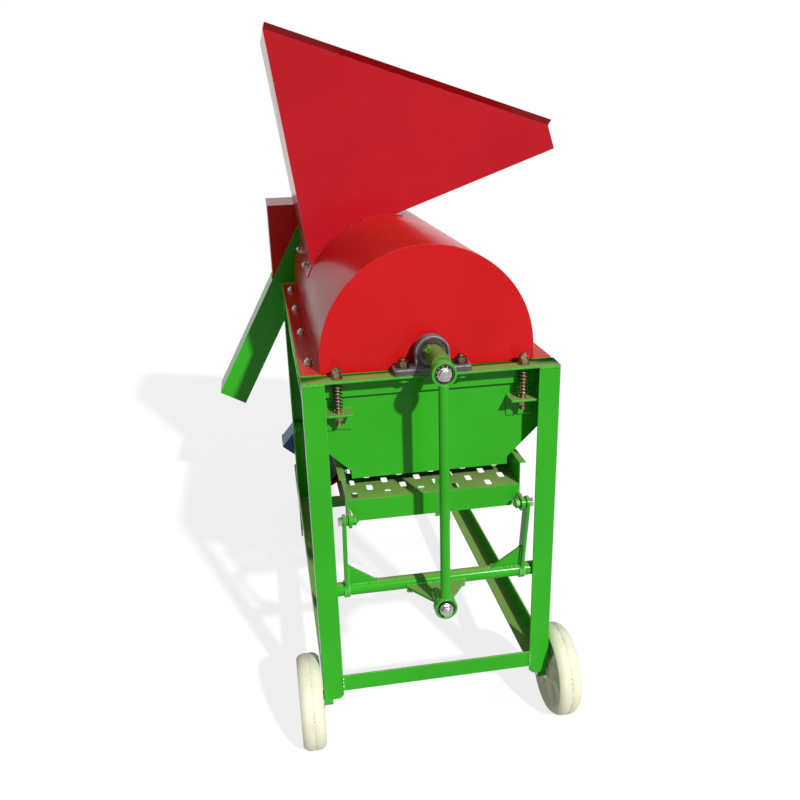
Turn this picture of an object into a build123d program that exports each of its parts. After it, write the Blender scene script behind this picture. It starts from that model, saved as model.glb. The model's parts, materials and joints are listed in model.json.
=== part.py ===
from build123d import *
import math
import os

# Working axes: X to the right, Y to the rear, Z up, in millimetres.
# X = 0 is the middle of the frame, Y = 0 the front of the front legs, Z = 0 the floor.

# Welded frame of angle iron
FRAME_WIDTH = 466.0
FRAME_LENGTH = 930.0
RAIL_TOP = 774.0
ANGLE_SIZE = 40.0
ANGLE_WALL = 4.0
CROSSBAR_SIZE = 36.0
CROSSBAR_DROP = 2.0
BOTTOM_RAIL_Z = 126.5
LEG_END_GAP = 11.5
LEG_CUT_WIDTH = 9.5
LEG_CUT_HEIGHT = 36.0
LEG_BEVEL = 9.0
REAR_BAR_INSET = 44.0

# Wheels and stub axles
WHEEL_RADIUS = 95.0
WHEEL_WIDTH = 46.0
WHEEL_SHOULDER = 12.0
WHEEL_HUB_RADIUS = 28.0
WHEEL_HUB_RECESS = 10.5
WHEEL_RIM_INNER = 70.0
WHEEL_DISH = 11.0
WHEEL_RIBS = 6
WHEEL_RIB_WIDTH = 6.0
WHEEL_BUSH_RADIUS = 13.0
AXLE_RADIUS = 10.0
AXLE_END = 7.0
AXLE_BUSH_RADIUS = 12.5
AXLE_BUSH_LENGTH = 18.0
AXLE_WASHER_RADIUS = 18.0
AXLE_WASHER = 3.2
PIN_RADIUS = 2.0
PIN_LENGTH = 32.0

# Drum cover and its ends
SHEET = 2.0
COVER_RADIUS = 196.5
COVER_SKIRT = 23.0
COVER_INSET = 50.0
COVER_REAR_INSET = 44.0
COVER_FLANGE_GAP = 2.0
END_HANG = 29.0
END_HANG_GAP = 3.0
SHAFT_HOLE = 16.0
COVER_BOLT_SIZE = 8.0
COVER_BOLT_FIRST = 117.0
COVER_BOLT_LAST = 138.0
COVER_BOLTS_PER_SIDE = 4

# Outlet from the rear of the drum to the hood
OUTLET_LEFT = -178.0
OUTLET_RIGHT = -126.0
OUTLET_BOTTOM_GAP = 12.0
OUTLET_HEIGHT = 74.0

# Feed hopper; heights are above the centre of the cover
HOPPER_REAR_INSET = 74.0
HOPPER_DEPTH = 368.0
MOUTH_LEFT = (-240.0, 573.0)
MOUTH_RIGHT = (365.0, 371.0)
TRAY_TIP = (381.0, 322.0)
HOPPER_LEFT_FOOT = 151.5
HOPPER_TRAY_FOOT = 84.0
RIM = 12.0
SADDLE_EDGE = 12.0
SADDLE_LEFT_ANGLE = 159.0
SADDLE_RIGHT_ANGLE = 80.0
SADDLE_LIP_ANGLE = 1.5
HOPPER_BOLT_SIZE = 8.0
HOPPER_BOLT_ANGLE = 155.2
HOPPER_BOLT_ROWS = (67.0, 302.0)

# Pillow blocks for a 25 mm shaft
SHAFT_RADIUS = 12.5
BEARING_HEIGHT = 36.5
BLOCK_LENGTH = 140.0
BLOCK_WIDTH = 38.0
BLOCK_FOOT = 12.0
BLOCK_BODY_RADIUS = 31.0
BLOCK_BODY_WIDTH = 22.0
BLOCK_BOLT_SPACING = 105.0
BLOCK_BOLT_SIZE = 12.0
BEARING_OUTER = 26.0
BEARING_SPLIT = 17.8
BEARING_RACE_WIDTH = 17.0
BEARING_INNER_WIDTH = 34.0
RUN_GAP = 0.08

# Rotor inside the drum
DISC_RADIUS = 112.0
DISC_WALL = 6.0
DISC_HUB_RADIUS = 26.0
DISC_HUB_LENGTH = 24.0
DISC_COUNT = 4
ROTOR_END_GAP = 22.0
BEATER_COUNT = 4
BEATER_WIDTH = 40.0
BEATER_WALL = 8.0
PEG_RADIUS = 7.0
PEG_LENGTH = 32.0
PEGS_PER_BAR = 9
SHAFT_FRONT = -52.0

# Crank hub, connecting rod and its rings
CRANK_HUB_RADIUS = 18.0
CRANK_THROW = 11.0
ROD_Y = -75.0
ROD_PIPE_RADIUS = 9.0
ROD_PIPE_WALL = 2.3
RING_RADIUS = 21.5
RING_WIDTH = 16.0
RING_BEARING_RADIUS = 17.5
RING_BEARING_WIDTH = 12.0
RING_BOLT_RADIUS = 6.0
RING_SPACER_RADIUS = 10.0
PIPE_GAP = 1.5
SET_SCREW_SIZE = 10.0
SET_SCREW_Y = -14.0
SET_SCREW_LENGTH = 12.0

# Rocker that shakes the sieve
ROCKER_Y = 20.0
ROCKER_Z = 348.5
ROCKER_PIPE_RADIUS = 13.45
ROCKER_PIPE_WALL = 3.2
ROCKER_BUSH_RADIUS = 15.4
ROCKER_BUSH_LENGTH = 16.0
ROCKER_ARM_LENGTH = 163.0
ROCKER_ARM_WIDTH = 26.0
ROCKER_ARM_WALL = 6.0
ROCKER_ARM_X = 174.0
ROCKER_LEAN = 10.0
GUSSET_LENGTH = 58.0
GUSSET_HEIGHT = 46.0
GUSSET_WALL = 5.0
LOWER_PIN_Z = 345.0
CRANK_BOSS_RADIUS = 15.0
CRANK_BOSS_FRONT = -60.0
CRANK_BOSS_REAR = -28.0
CRANK_WING = 70.0
CRANK_WING_WALL = 6.0
BALL_RADIUS = 12.6
BALL_HALF_WIDTH = 6.5
PIN_COLLAR_RADIUS = 9.0
RING_HEAD_FLATS = 9.5
RING_HEAD_HEIGHT = 9.0
PIN_HEAD_GAP = 2.0

# Sieve
SIEVE_HALF_WIDTH = 166.0
SIEVE_FLOOR_Z = 538.0
SIEVE_FRONT = 12.0
SIEVE_REAR_INSET = 42.0
SIEVE_WALL_TOP = 584.0
SIEVE_TOP_FLANGE = 11.0
SIEVE_LIP_DROP = 42.0
SIEVE_LIP_CUT = 16.0
SLOT_WIDTH = 12.0
SLOT_LENGTH = 24.0
SLOT_CORNER = 3.5
SLOT_PITCH_X = 64.4
SLOT_PITCH_Y = 27.5
SLOT_MARGIN = 18.0
SLOT_START = 22.0
LUG_WALL = 6.0
LUG_RADIUS = 14.0
PIVOT_BOLT_SIZE = 10.0

# Concave hung on springs under the drum
BOX_INSET = 46.0
BOX_WALL = 2.0
BOX_SIDE_GAP = 7.0
BOX_TOP = 752.0
BOX_KNEE = 653.0
BOX_MOUTH_HALF = 150.0
BOX_MOUTH_TOP = 583.0
BOX_BOTTOM = 568.0
CONCAVE_RADIUS = 172.0
CONCAVE_BAR_RADIUS = 5.0
CONCAVE_BARS = 22
CONCAVE_SPREAD = 63.0
RIB_WALL = 6.0
RIB_COUNT = 4
RIB_INNER_GAP = 2.0
RIB_DEPTH = 20.0
RIB_EAR_HEIGHT = 20.0
BRACKET_LENGTH = 50.0
BRACKET_TOP = 710.0
SPRING_X = 170.0
SPRING_INSET = 22.0
SPRING_BOLT_SIZE = 10.0
SPRING_BOLT_TAIL = 17.0
SPRING_RADIUS = 7.5
SPRING_WIRE = 2.6
SPRING_QUARTERS = 30
SPRING_LEAD_DROP = 5.0

# Discharge hood and husk chute
HOOD_LEFT = -255.0
HOOD_RIGHT = -121.0
HOOD_DEPTH = 215.0
HOOD_HEIGHT = 206.0
CHUTE_TOP = (-173.0, 160.0)
CHUTE_END = (-430.0, -307.0)
CHUTE_WALL = 75.6
CHUTE_DEPTH = 110.0
CHUTE_TONGUE_LEFT = -192.0
CHUTE_TONGUE_RIGHT = -123.0
CHUTE_TONGUE_DROP = 36.0
CHUTE_BOLT_XS = (-160.0, -136.0)
CHUTE_BOLT_SIZE = 8.0

# Motor and belt drive
ARM_TOP = 110.0
MOTOR_X = -150.0
MOTOR_HEIGHT = 80.0
MOTOR_RADIUS = 66.0
MOTOR_FIN_RADIUS = 73.0
MOTOR_FINS = 36
MOTOR_FIN_WALL = 3.0
MOTOR_GUARD_GAP = 4.0
MOTOR_NOSE = 15.0
MOTOR_NOSE_RADIUS = 45.0
MOTOR_BELL = 12.0
MOTOR_BODY = 150.0
MOTOR_SHIELD = 8.0
FAN_COVER_LENGTH = 58.0
FAN_COVER_RADIUS = 72.0
FAN_HOLE_RADIUS = 8.0
FAN_HOLES = 8
FAN_HOLE_RING = 42.0
MOTOR_FOOT_SPREAD = 66.0
MOTOR_FOOT_EDGE = 10.0
MOTOR_FOOT_HEIGHT = 14.0
MOTOR_BASE = 8.0
MOTOR_BOLT_SIZE = 10.0
MOTOR_BOLT_INSET = 15.0
MOTOR_SHAFT_RADIUS = 12.0
BOX_ANGLE = 140.0
BOX_FLOOR = 78.0
BOX_OUTER = 112.0
BOX_HALF = 48.0
BOX_LID = 8.0
BOX_LENGTH = 92.0
GLAND_RADIUS = 8.0
GLAND_LENGTH = 22.0
BELT_STANDOFF = 28.0
BELT_COUNT = 2
BELT_PITCH = 16.0
BELT_TOP = 12.0
BELT_BOTTOM = 7.0
BELT_DEPTH = 8.0
BELT_GAP = 0.4
PULLEY_WIDTH = 36.0
PULLEY_HUB_RADIUS = 28.0
PULLEY_WEB = 10.0
PULLEY_RIM = 20.0
PULLEY_HOLES = 5
DRIVEN_RADIUS = 90.0
MOTOR_PULLEY_RADIUS = 46.0
GUARD_GAP = 14.0
GUARD_FRONT = 4.0
GUARD_DEPTH = 58.0
GUARD_EAR = 28.0
GUARD_SLOTS = 5

# Fits
BOLT_GAP = 0.3
MOVE_GAP = 0.3
SEAT_GAP = 0.2
HEAD_FLATS = 0.8
HEAD_HEIGHT = 0.64
NUT_HEIGHT = 0.8


def block(x, y, z):
    """Box between pairs of limits along the three axes."""
    size = Box(x[1] - x[0], y[1] - y[0], z[1] - z[0])
    return Pos((x[0] + x[1]) / 2, (y[0] + y[1]) / 2, (z[0] + z[1]) / 2) * size


def round_x(x, y, z, radius):
    """Round bar along X."""
    return Pos((x[0] + x[1]) / 2, y, z) * Rot(0, 90, 0) * Cylinder(radius, x[1] - x[0])


def round_y(x, y, z, radius):
    """Round bar along Y."""
    return Pos(x, (y[0] + y[1]) / 2, z) * Rot(90, 0, 0) * Cylinder(radius, y[1] - y[0])


def round_z(x, y, z, radius):
    """Round bar along Z."""
    return Pos(x, y, (z[0] + z[1]) / 2) * Cylinder(radius, z[1] - z[0])


def prism_y(points, y):
    """Flat outline of X and Z points carried along Y."""
    ring = Polyline(*[(px, y[0], pz) for px, pz in points], close=True)
    return extrude(make_face(ring), amount=y[1] - y[0], dir=(0, 1, 0))


def prism_x(points, x):
    """Flat outline of Y and Z points carried along X."""
    ring = Polyline(*[(x[0], py, pz) for py, pz in points], close=True)
    return extrude(make_face(ring), amount=x[1] - x[0], dir=(1, 0, 0))


def prism_z(points, z):
    """Flat outline of X and Y points carried along Z."""
    ring = Polyline(*[(px, py, z[0]) for px, py in points], close=True)
    return extrude(make_face(ring), amount=z[1] - z[0], dir=(0, 0, 1))


def slab(start, end, wall, y):
    """Sheet standing along Y between two X and Z points, thickened to the left of its run."""
    run_x = end[0] - start[0]
    run_z = end[1] - start[1]
    length = math.hypot(run_x, run_z)
    side = (-run_z / length * wall, run_x / length * wall)
    far = (end[0] + side[0], end[1] + side[1])
    near = (start[0] + side[0], start[1] + side[1])
    return prism_y([start, end, far, near], y)


def polar(centre, radius, degrees):
    """X and Z point at an angle about a centre."""
    angle = math.radians(degrees)
    return (centre[0] + radius * math.cos(angle), centre[1] + radius * math.sin(angle))


def sector(centre, radii, angles, y):
    """Curved sheet about an axis along Y between two radii and two angles."""
    middle = (angles[0] + angles[1]) / 2

    def at(radius, degrees):
        px, pz = polar(centre, radius, degrees)
        return (px, y[0], pz)

    outer = ThreePointArc(at(radii[1], angles[0]), at(radii[1], middle), at(radii[1], angles[1]))
    inner = ThreePointArc(at(radii[0], angles[1]), at(radii[0], middle), at(radii[0], angles[0]))
    ends = [Line(outer @ 1, inner @ 0), Line(inner @ 1, outer @ 0)]
    return extrude(make_face([outer, ends[0], inner, ends[1]]), amount=y[1] - y[0], dir=(0, 1, 0))


def bolt(size, grip, nut=True, tail=2.0):
    """Hexagon bolt pointing down, its head resting on Z = 0, with a nut under the grip."""
    flats = size * HEAD_FLATS
    head = extrude(RegularPolygon(flats, 6, major_radius=False), amount=size * HEAD_HEIGHT)
    nut_height = size * NUT_HEIGHT if nut else 0.0
    whole = head + round_z(0, 0, (-grip - nut_height - tail, 0), size / 2)
    if nut:
        ring = RegularPolygon(flats, 6, major_radius=False)
        whole += Pos(0, 0, -grip - nut_height) * extrude(ring, amount=nut_height)
    return whole


def both_sides(piece):
    """A left piece and its mirror image on the right."""
    return [piece, mirror(piece, about=Plane.YZ)]


def solids_of(pieces):
    """All solids of a list of pieces."""
    return [solid for piece in pieces for solid in piece.solids()]


half = FRAME_WIDTH / 2
inner_half = half - ANGLE_SIZE
leg_inside = half - ANGLE_WALL
box_half_width = leg_inside - BOX_SIDE_GAP
rail_under = RAIL_TOP - ANGLE_WALL
rail_low = RAIL_TOP - ANGLE_SIZE
axle_y = ANGLE_SIZE / 2
axle_z = WHEEL_RADIUS
cover_z = RAIL_TOP + COVER_SKIRT
shaft_z = RAIL_TOP + BEARING_HEIGHT
cover_rear = FRAME_LENGTH - COVER_REAR_INSET
front_bearing_y = ANGLE_SIZE / 2
rear_bearing_y = FRAME_LENGTH - ANGLE_SIZE / 2
spring_ys = (SPRING_INSET, FRAME_LENGTH - SPRING_INSET)
bottom_floor = BOTTOM_RAIL_Z + ANGLE_WALL
nodes = {}


def keep(name, *pieces):
    """File pieces under one node name."""
    nodes[name] = Compound(solids_of(pieces))


# Frame

def front_leg(clipped):
    """Left front leg, notched over the axle bush and bevelled at its inner lower corner.

    A clipped leg has its outer lower corner cut off as well.
    """
    low = axle_z + LEG_END_GAP
    leg = block((-half, -half + ANGLE_SIZE), (0, ANGLE_WALL), (low, rail_under))
    leg += block((-half, -half + ANGLE_WALL), (0, ANGLE_SIZE), (low, rail_under))
    inner = -half + ANGLE_SIZE
    bevel = [(inner + 1, low - 1), (inner + 1, low + LEG_BEVEL), (inner - LEG_BEVEL, low - 1)]
    leg -= prism_y(bevel, (-1, ANGLE_WALL + 1))
    if clipped:
        corner = [(-half - 1, low - 1), (-half + LEG_CUT_WIDTH, low - 1), (-half - 1, low + LEG_CUT_HEIGHT)]
        leg -= prism_y(corner, (-1, ANGLE_WALL - BOLT_GAP))
    leg -= round_x((-half - 1, -half + ANGLE_WALL + 1), axle_y, axle_z, AXLE_BUSH_RADIUS)
    return leg


def rear_leg():
    """Left rear leg, standing on the floor."""
    leg = block((-half, -half + ANGLE_SIZE), (FRAME_LENGTH - ANGLE_WALL, FRAME_LENGTH), (0, rail_under))
    leg += block((-half, -half + ANGLE_WALL), (FRAME_LENGTH - ANGLE_SIZE, FRAME_LENGTH), (0, rail_under))
    return leg


def cross_rail(front):
    """Front or rear top rail, drilled for its pillow block and its two spring bolts."""
    near = 0 if front else FRAME_LENGTH - ANGLE_SIZE
    far = near + ANGLE_SIZE
    rail = block((-half, half), (near, far), (rail_under, RAIL_TOP))
    if front:
        web_x = half - ANGLE_WALL
    else:
        web_x = inner_half
    rail += block((-web_x, web_x), (far - ANGLE_WALL, far), (rail_low, rail_under))
    bearing_y = front_bearing_y if front else rear_bearing_y
    spring_y = spring_ys[0] if front else spring_ys[1]
    depth = (rail_under - 1, RAIL_TOP + 1)
    for side in (-1, 1):
        rail -= round_z(side * BLOCK_BOLT_SPACING / 2, bearing_y, depth, BLOCK_BOLT_SIZE / 2 + BOLT_GAP)
        rail -= round_z(side * SPRING_X, spring_y, depth, SPRING_BOLT_SIZE / 2 + BOLT_GAP)
    if not front:
        for x in CHUTE_BOLT_XS:
            hole_z = RAIL_TOP - CHUTE_TONGUE_DROP / 2
            rail -= round_y(x, (far - ANGLE_WALL - 1, far + 1), hole_z, CHUTE_BOLT_SIZE / 2 + BOLT_GAP)
    return rail


cover_bolt_x = half - ANGLE_SIZE / 2
cover_bolt_pitch = (FRAME_LENGTH - COVER_BOLT_FIRST - COVER_BOLT_LAST) / (COVER_BOLTS_PER_SIDE - 1)
cover_bolt_ys = [COVER_BOLT_FIRST + cover_bolt_pitch * row for row in range(COVER_BOLTS_PER_SIDE)]


def side_rail():
    """Left top rail, drilled for the cover bolts."""
    run = (ANGLE_SIZE, FRAME_LENGTH - ANGLE_SIZE)
    rail = block((-half, -inner_half), run, (rail_under, RAIL_TOP))
    rail += block((-half, -half + ANGLE_WALL), run, (rail_low, rail_under))
    for y in cover_bolt_ys:
        rail -= round_z(-cover_bolt_x, y, (rail_under - 1, RAIL_TOP + 1), COVER_BOLT_SIZE / 2 + BOLT_GAP)
    return rail


def bottom_rail():
    """Left bottom rail, its flat flange turned inwards."""
    run = (ANGLE_SIZE, FRAME_LENGTH - ANGLE_SIZE)
    rail = block((-half, -inner_half), run, (BOTTOM_RAIL_Z, bottom_floor))
    rail += block((-half, -half + ANGLE_WALL), run, (bottom_floor, BOTTOM_RAIL_Z + ANGLE_SIZE))
    return rail


keep("front_legs", front_leg(False), mirror(front_leg(True), about=Plane.YZ))
keep("rear_legs", *both_sides(rear_leg()))
keep("top_rails", cross_rail(True), cross_rail(False), *both_sides(side_rail()))

bar_z = BOTTOM_RAIL_Z - CROSSBAR_DROP
front_bar = block((-inner_half, inner_half), (0, ANGLE_WALL), (bar_z, bar_z + CROSSBAR_SIZE))
front_bar += block((-inner_half, inner_half), (0, CROSSBAR_SIZE), (bar_z, bar_z + ANGLE_WALL))
rear_bar_y = FRAME_LENGTH - REAR_BAR_INSET
rear_bar_x = (-half, half)
rear_flat = (BOTTOM_RAIL_Z - ANGLE_WALL, BOTTOM_RAIL_Z)
rear_web = (BOTTOM_RAIL_Z - CROSSBAR_SIZE, BOTTOM_RAIL_Z)
rear_bar = block(rear_bar_x, (rear_bar_y - CROSSBAR_SIZE, rear_bar_y), rear_flat)
rear_bar += block(rear_bar_x, (rear_bar_y - ANGLE_WALL, rear_bar_y), rear_web)
keep("bottom_rails", front_bar, rear_bar, *both_sides(bottom_rail()))

# Stub axles and wheels

wheel_in = half + AXLE_WASHER + MOVE_GAP
wheel_out = wheel_in + WHEEL_WIDTH
hub_out = wheel_out - WHEEL_HUB_RECESS
axle_tip = hub_out + AXLE_WASHER + AXLE_END
pin_x = hub_out + AXLE_WASHER + AXLE_END / 2

bush = round_x((-half, -half + AXLE_BUSH_LENGTH), axle_y, axle_z, AXLE_BUSH_RADIUS)
bush -= round_x((-half - 1, -half + AXLE_BUSH_LENGTH + 1), axle_y, axle_z, AXLE_RADIUS)
keep("axle_bushes", *both_sides(bush))

stub = round_x((-axle_tip, -half + AXLE_BUSH_LENGTH), axle_y, axle_z, AXLE_RADIUS)
stub -= round_z(-pin_x, axle_y, (axle_z - PIN_LENGTH, axle_z + PIN_LENGTH), PIN_RADIUS)
keep("axle_stubs", *both_sides(stub))


def axle_washer(x):
    """Flat washer on a stub axle between two X limits."""
    ring = round_x(x, axle_y, axle_z, AXLE_WASHER_RADIUS)
    return ring - round_x((x[0] - 1, x[1] + 1), axle_y, axle_z, AXLE_RADIUS)


retainers = []
for side in (-1, 1):
    inner = sorted((side * half, side * (half + AXLE_WASHER)))
    outer = sorted((side * (hub_out + MOVE_GAP), side * (hub_out + MOVE_GAP + AXLE_WASHER)))
    retainers.append(axle_washer(inner))
    retainers.append(axle_washer(outer))
    pin_z = (axle_z - PIN_LENGTH / 2, axle_z + PIN_LENGTH / 2)
    retainers.append(round_z(side * pin_x, axle_y, pin_z, PIN_RADIUS))
keep("axle_washers_and_pins", *retainers)


def wheel():
    """Left wheel: a solid tyre with a dished web, ribs on both faces and its hub sunk at the outer face."""
    body = round_x((-wheel_out, -wheel_in), axle_y, axle_z, WHEEL_RADIUS)
    rims = body.edges().filter_by(GeomType.CIRCLE)
    body = fillet(rims, WHEEL_SHOULDER)
    faces = ((-wheel_out - 1, -wheel_out + WHEEL_DISH), (-wheel_in - WHEEL_DISH, -wheel_in + 1))
    for x in faces:
        dish = round_x(x, axle_y, axle_z, WHEEL_RIM_INNER)
        dish -= round_x(x, axle_y, axle_z, WHEEL_HUB_RADIUS)
        for rib in range(WHEEL_RIBS):
            turn = Pos(0, axle_y, axle_z) * Rot(360.0 / WHEEL_RIBS * rib, 0, 0)
            wall = (-WHEEL_RIB_WIDTH / 2, WHEEL_RIB_WIDTH / 2)
            dish -= turn * block(x, wall, (0, WHEEL_RADIUS))
        body -= dish
    body -= round_x((-wheel_out - 1, -hub_out), axle_y, axle_z, WHEEL_HUB_RADIUS)
    return body - round_x((-wheel_out - 1, -wheel_in + 1), axle_y, axle_z, WHEEL_BUSH_RADIUS)


wheel_bush = round_x((-hub_out, -wheel_in), axle_y, axle_z, WHEEL_BUSH_RADIUS)
wheel_bush -= round_x((-wheel_out - 1, -wheel_in + 1), axle_y, axle_z, AXLE_RADIUS + RUN_GAP)
wheels = both_sides(wheel())
wheel_bushes = both_sides(wheel_bush)
keep("wheel_left", wheels[0])
keep("wheel_right", wheels[1])
keep("wheel_bush_left", wheel_bushes[0])
keep("wheel_bush_right", wheel_bushes[1])

# Drum cover

cover_run = (COVER_INSET, cover_rear)
drum = (0.0, cover_z)
saddle_radius = COVER_RADIUS + SHEET
hopper_rear = FRAME_LENGTH - HOPPER_REAR_INSET
hopper_front = hopper_rear - HOPPER_DEPTH
throat_y = (hopper_front + SHEET, hopper_rear - SHEET)
throat_angles = (HOPPER_TRAY_FOOT + SADDLE_LIP_ANGLE, HOPPER_LEFT_FOOT - SADDLE_LIP_ANGLE)


def arch(radius, y):
    """Half round on straight sides, down to the rails."""
    top = round_y(0, y, cover_z, radius)
    top &= block((-radius - 1, radius + 1), y, (cover_z, cover_z + radius + 1))
    return top + block((-radius, radius), y, (RAIL_TOP, cover_z))


def hopper_bolt_place(row):
    """Seat of a hopper bolt on the left of the saddle."""
    seat = polar(drum, saddle_radius, HOPPER_BOLT_ANGLE)
    return Pos(seat[0], hopper_front + row, seat[1]) * Rot(0, 90 - HOPPER_BOLT_ANGLE, 0)


hopper_holes = [
    hopper_bolt_place(row) * round_z(0, 0, (-SHEET * 3, 1), HOPPER_BOLT_SIZE / 2 + BOLT_GAP)
    for row in HOPPER_BOLT_ROWS
]

cover = arch(COVER_RADIUS, cover_run)
cover -= arch(COVER_RADIUS - SHEET, (cover_run[0] - 1, cover_run[1] + 1))
for side in (-1, 1):
    flange_x = sorted((side * (COVER_RADIUS - SHEET), side * (half - COVER_FLANGE_GAP)))
    cover += block(flange_x, cover_run, (RAIL_TOP, RAIL_TOP + SHEET))
    for y in cover_bolt_ys:
        depth = (RAIL_TOP - 1, RAIL_TOP + SHEET + 1)
        cover -= round_z(side * cover_bolt_x, y, depth, COVER_BOLT_SIZE / 2 + BOLT_GAP)
cover -= sector(drum, (COVER_RADIUS - SHEET * 3, COVER_RADIUS + SHEET), throat_angles, throat_y)
for hole in hopper_holes:
    cover -= hole
keep("drum_cover", cover)


def end_plate(y):
    """D-shaped end of the drum with a skirt hanging between the rails."""
    plate = arch(COVER_RADIUS, y)
    hang = inner_half - END_HANG_GAP
    plate += block((-hang, hang), y, (RAIL_TOP - END_HANG, RAIL_TOP))
    return plate - round_y(0, (y[0] - 1, y[1] + 1), shaft_z, SHAFT_HOLE)


outlet_z = (RAIL_TOP + OUTLET_BOTTOM_GAP, RAIL_TOP + OUTLET_BOTTOM_GAP + OUTLET_HEIGHT)
outlet_x = (OUTLET_LEFT, OUTLET_RIGHT)
end_rear_y = (cover_rear, cover_rear + SHEET)
rear_end = end_plate(end_rear_y) - block(outlet_x, (end_rear_y[0] - 1, end_rear_y[1] + 1), outlet_z)
keep("drum_ends", end_plate((COVER_INSET - SHEET, COVER_INSET)), rear_end)

cover_bolts = []
for side in (-1, 1):
    for y in cover_bolt_ys:
        seat = Pos(side * cover_bolt_x, y, RAIL_TOP + SHEET)
        cover_bolts.append(seat * bolt(COVER_BOLT_SIZE, ANGLE_WALL + SHEET))

# Hopper


def above_cover(point):
    """X and Z point given by its height above the centre of the cover."""
    return (point[0], cover_z + point[1])


mouth_left = above_cover(MOUTH_LEFT)
mouth_right = above_cover(MOUTH_RIGHT)
tray_tip = above_cover(TRAY_TIP)
left_foot = polar(drum, saddle_radius, HOPPER_LEFT_FOOT)
tray_foot = polar(drum, saddle_radius, HOPPER_TRAY_FOOT)
throat_low = polar(drum, COVER_RADIUS - RIM, (HOPPER_LEFT_FOOT + HOPPER_TRAY_FOOT) / 2)
mouth_x = mouth_right[0] - mouth_left[0]
mouth_z = mouth_right[1] - mouth_left[1]
mouth_length = math.hypot(mouth_x, mouth_z)
rise = (-mouth_z / mouth_length * RIM, mouth_x / mouth_length * RIM)


def hopper_wall(y, outward):
    """Front or rear wall standing on the saddle, with its rim flared outwards."""
    wall = prism_y([mouth_left, mouth_right, tray_tip, tray_foot, throat_low, left_foot], y)
    wall -= round_y(drum[0], (y[0] - 1, y[1] + 1), drum[1], saddle_radius)
    foot = [(mouth_left[0], y[0], mouth_left[1]), (mouth_left[0], y[1], mouth_left[1])]
    flare = [(px + rise[0], py + outward * RIM, pz + rise[1]) for px, py, pz in reversed(foot)]
    leaf = make_face(Polyline(*foot, *flare, close=True))
    return wall + extrude(leaf, amount=mouth_length, dir=(mouth_x, 0, mouth_z))


front_wall = hopper_wall((hopper_front, hopper_front + SHEET), -1)
rear_wall = hopper_wall((hopper_rear - SHEET, hopper_rear), 1)
keep("hopper_end_walls", front_wall, rear_wall)

saddle_keep = round_y(drum[0], (0, FRAME_LENGTH), drum[1], saddle_radius)
left_line = [left_foot, mouth_left, (mouth_left[0] + rise[0], mouth_left[1] + rise[1])]
left_line += [(px + SHEET, pz) for px, pz in reversed(left_line)]
keep("hopper_left_wall", prism_y(left_line, throat_y) - saddle_keep)

tray = slab(tray_foot, tray_tip, SHEET, throat_y) - saddle_keep
tray += slab(tray_tip, mouth_right, SHEET, throat_y)
keep("hopper_tray", tray)

saddle_y = (hopper_front - SADDLE_EDGE, hopper_rear + SADDLE_EDGE)
saddle = sector(drum, (COVER_RADIUS, saddle_radius), (SADDLE_RIGHT_ANGLE, SADDLE_LEFT_ANGLE), saddle_y)
saddle -= sector(drum, (COVER_RADIUS - SHEET, saddle_radius + SHEET), throat_angles, throat_y)
for hole in hopper_holes:
    saddle -= hole
keep("hopper_saddle", saddle)
hopper_bolts = [
    hopper_bolt_place(row) * bolt(HOPPER_BOLT_SIZE, SHEET * 2 + SEAT_GAP) for row in HOPPER_BOLT_ROWS
]

# Pillow blocks


def pillow_block(y):
    """Cast housing on a rail, bored for the bearing and drilled for two bolts."""
    foot_y = (y - BLOCK_WIDTH / 2, y + BLOCK_WIDTH / 2)
    body_y = (y - BLOCK_BODY_WIDTH / 2, y + BLOCK_BODY_WIDTH / 2)
    foot = block((-BLOCK_LENGTH / 2, BLOCK_LENGTH / 2), foot_y, (RAIL_TOP, RAIL_TOP + BLOCK_FOOT))
    foot = fillet(foot.edges().filter_by(Axis.Z), BLOCK_FOOT / 2)
    body = round_y(0, body_y, shaft_z, BLOCK_BODY_RADIUS)
    body += block((-BLOCK_BODY_RADIUS, BLOCK_BODY_RADIUS), body_y, (RAIL_TOP, shaft_z))
    housing = foot + body - round_y(0, foot_y, shaft_z, BEARING_OUTER)
    for side in (-1, 1):
        depth = (RAIL_TOP - 1, RAIL_TOP + BLOCK_FOOT + 1)
        housing -= round_z(side * BLOCK_BOLT_SPACING / 2, y, depth, BLOCK_BOLT_SIZE / 2 + BOLT_GAP)
    return housing


def bearing_ring(y, radii, width):
    """Plain ring about the main shaft."""
    ring = round_y(0, (y - width / 2, y + width / 2), shaft_z, radii[1])
    return ring - round_y(0, (y - width, y + width), shaft_z, radii[0])


bearing_ys = (front_bearing_y, rear_bearing_y)
keep("bearing_housings", *[pillow_block(y) for y in bearing_ys])
outer_radii = (BEARING_SPLIT, BEARING_OUTER)
keep("bearing_outer_rings", *[bearing_ring(y, outer_radii, BEARING_RACE_WIDTH) for y in bearing_ys])
inner_radii = (SHAFT_RADIUS, BEARING_SPLIT - RUN_GAP)
keep("bearing_inner_rings", *[bearing_ring(y, inner_radii, BEARING_INNER_WIDTH) for y in bearing_ys])
block_bolts = []
for y in bearing_ys:
    for side in (-1, 1):
        seat = Pos(side * BLOCK_BOLT_SPACING / 2, y, RAIL_TOP + BLOCK_FOOT)
        block_bolts.append(seat * bolt(BLOCK_BOLT_SIZE, BLOCK_FOOT + ANGLE_WALL))
keep("bearing_bolts", *block_bolts)

# Rotor

belt_y = FRAME_LENGTH + BELT_STANDOFF
pulley_y = (belt_y - PULLEY_WIDTH / 2, belt_y + PULLEY_WIDTH / 2)
shaft_rear = pulley_y[1] + SHEET
keep("main_shaft", round_y(0, (SHAFT_FRONT, shaft_rear), shaft_z, SHAFT_RADIUS))

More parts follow.
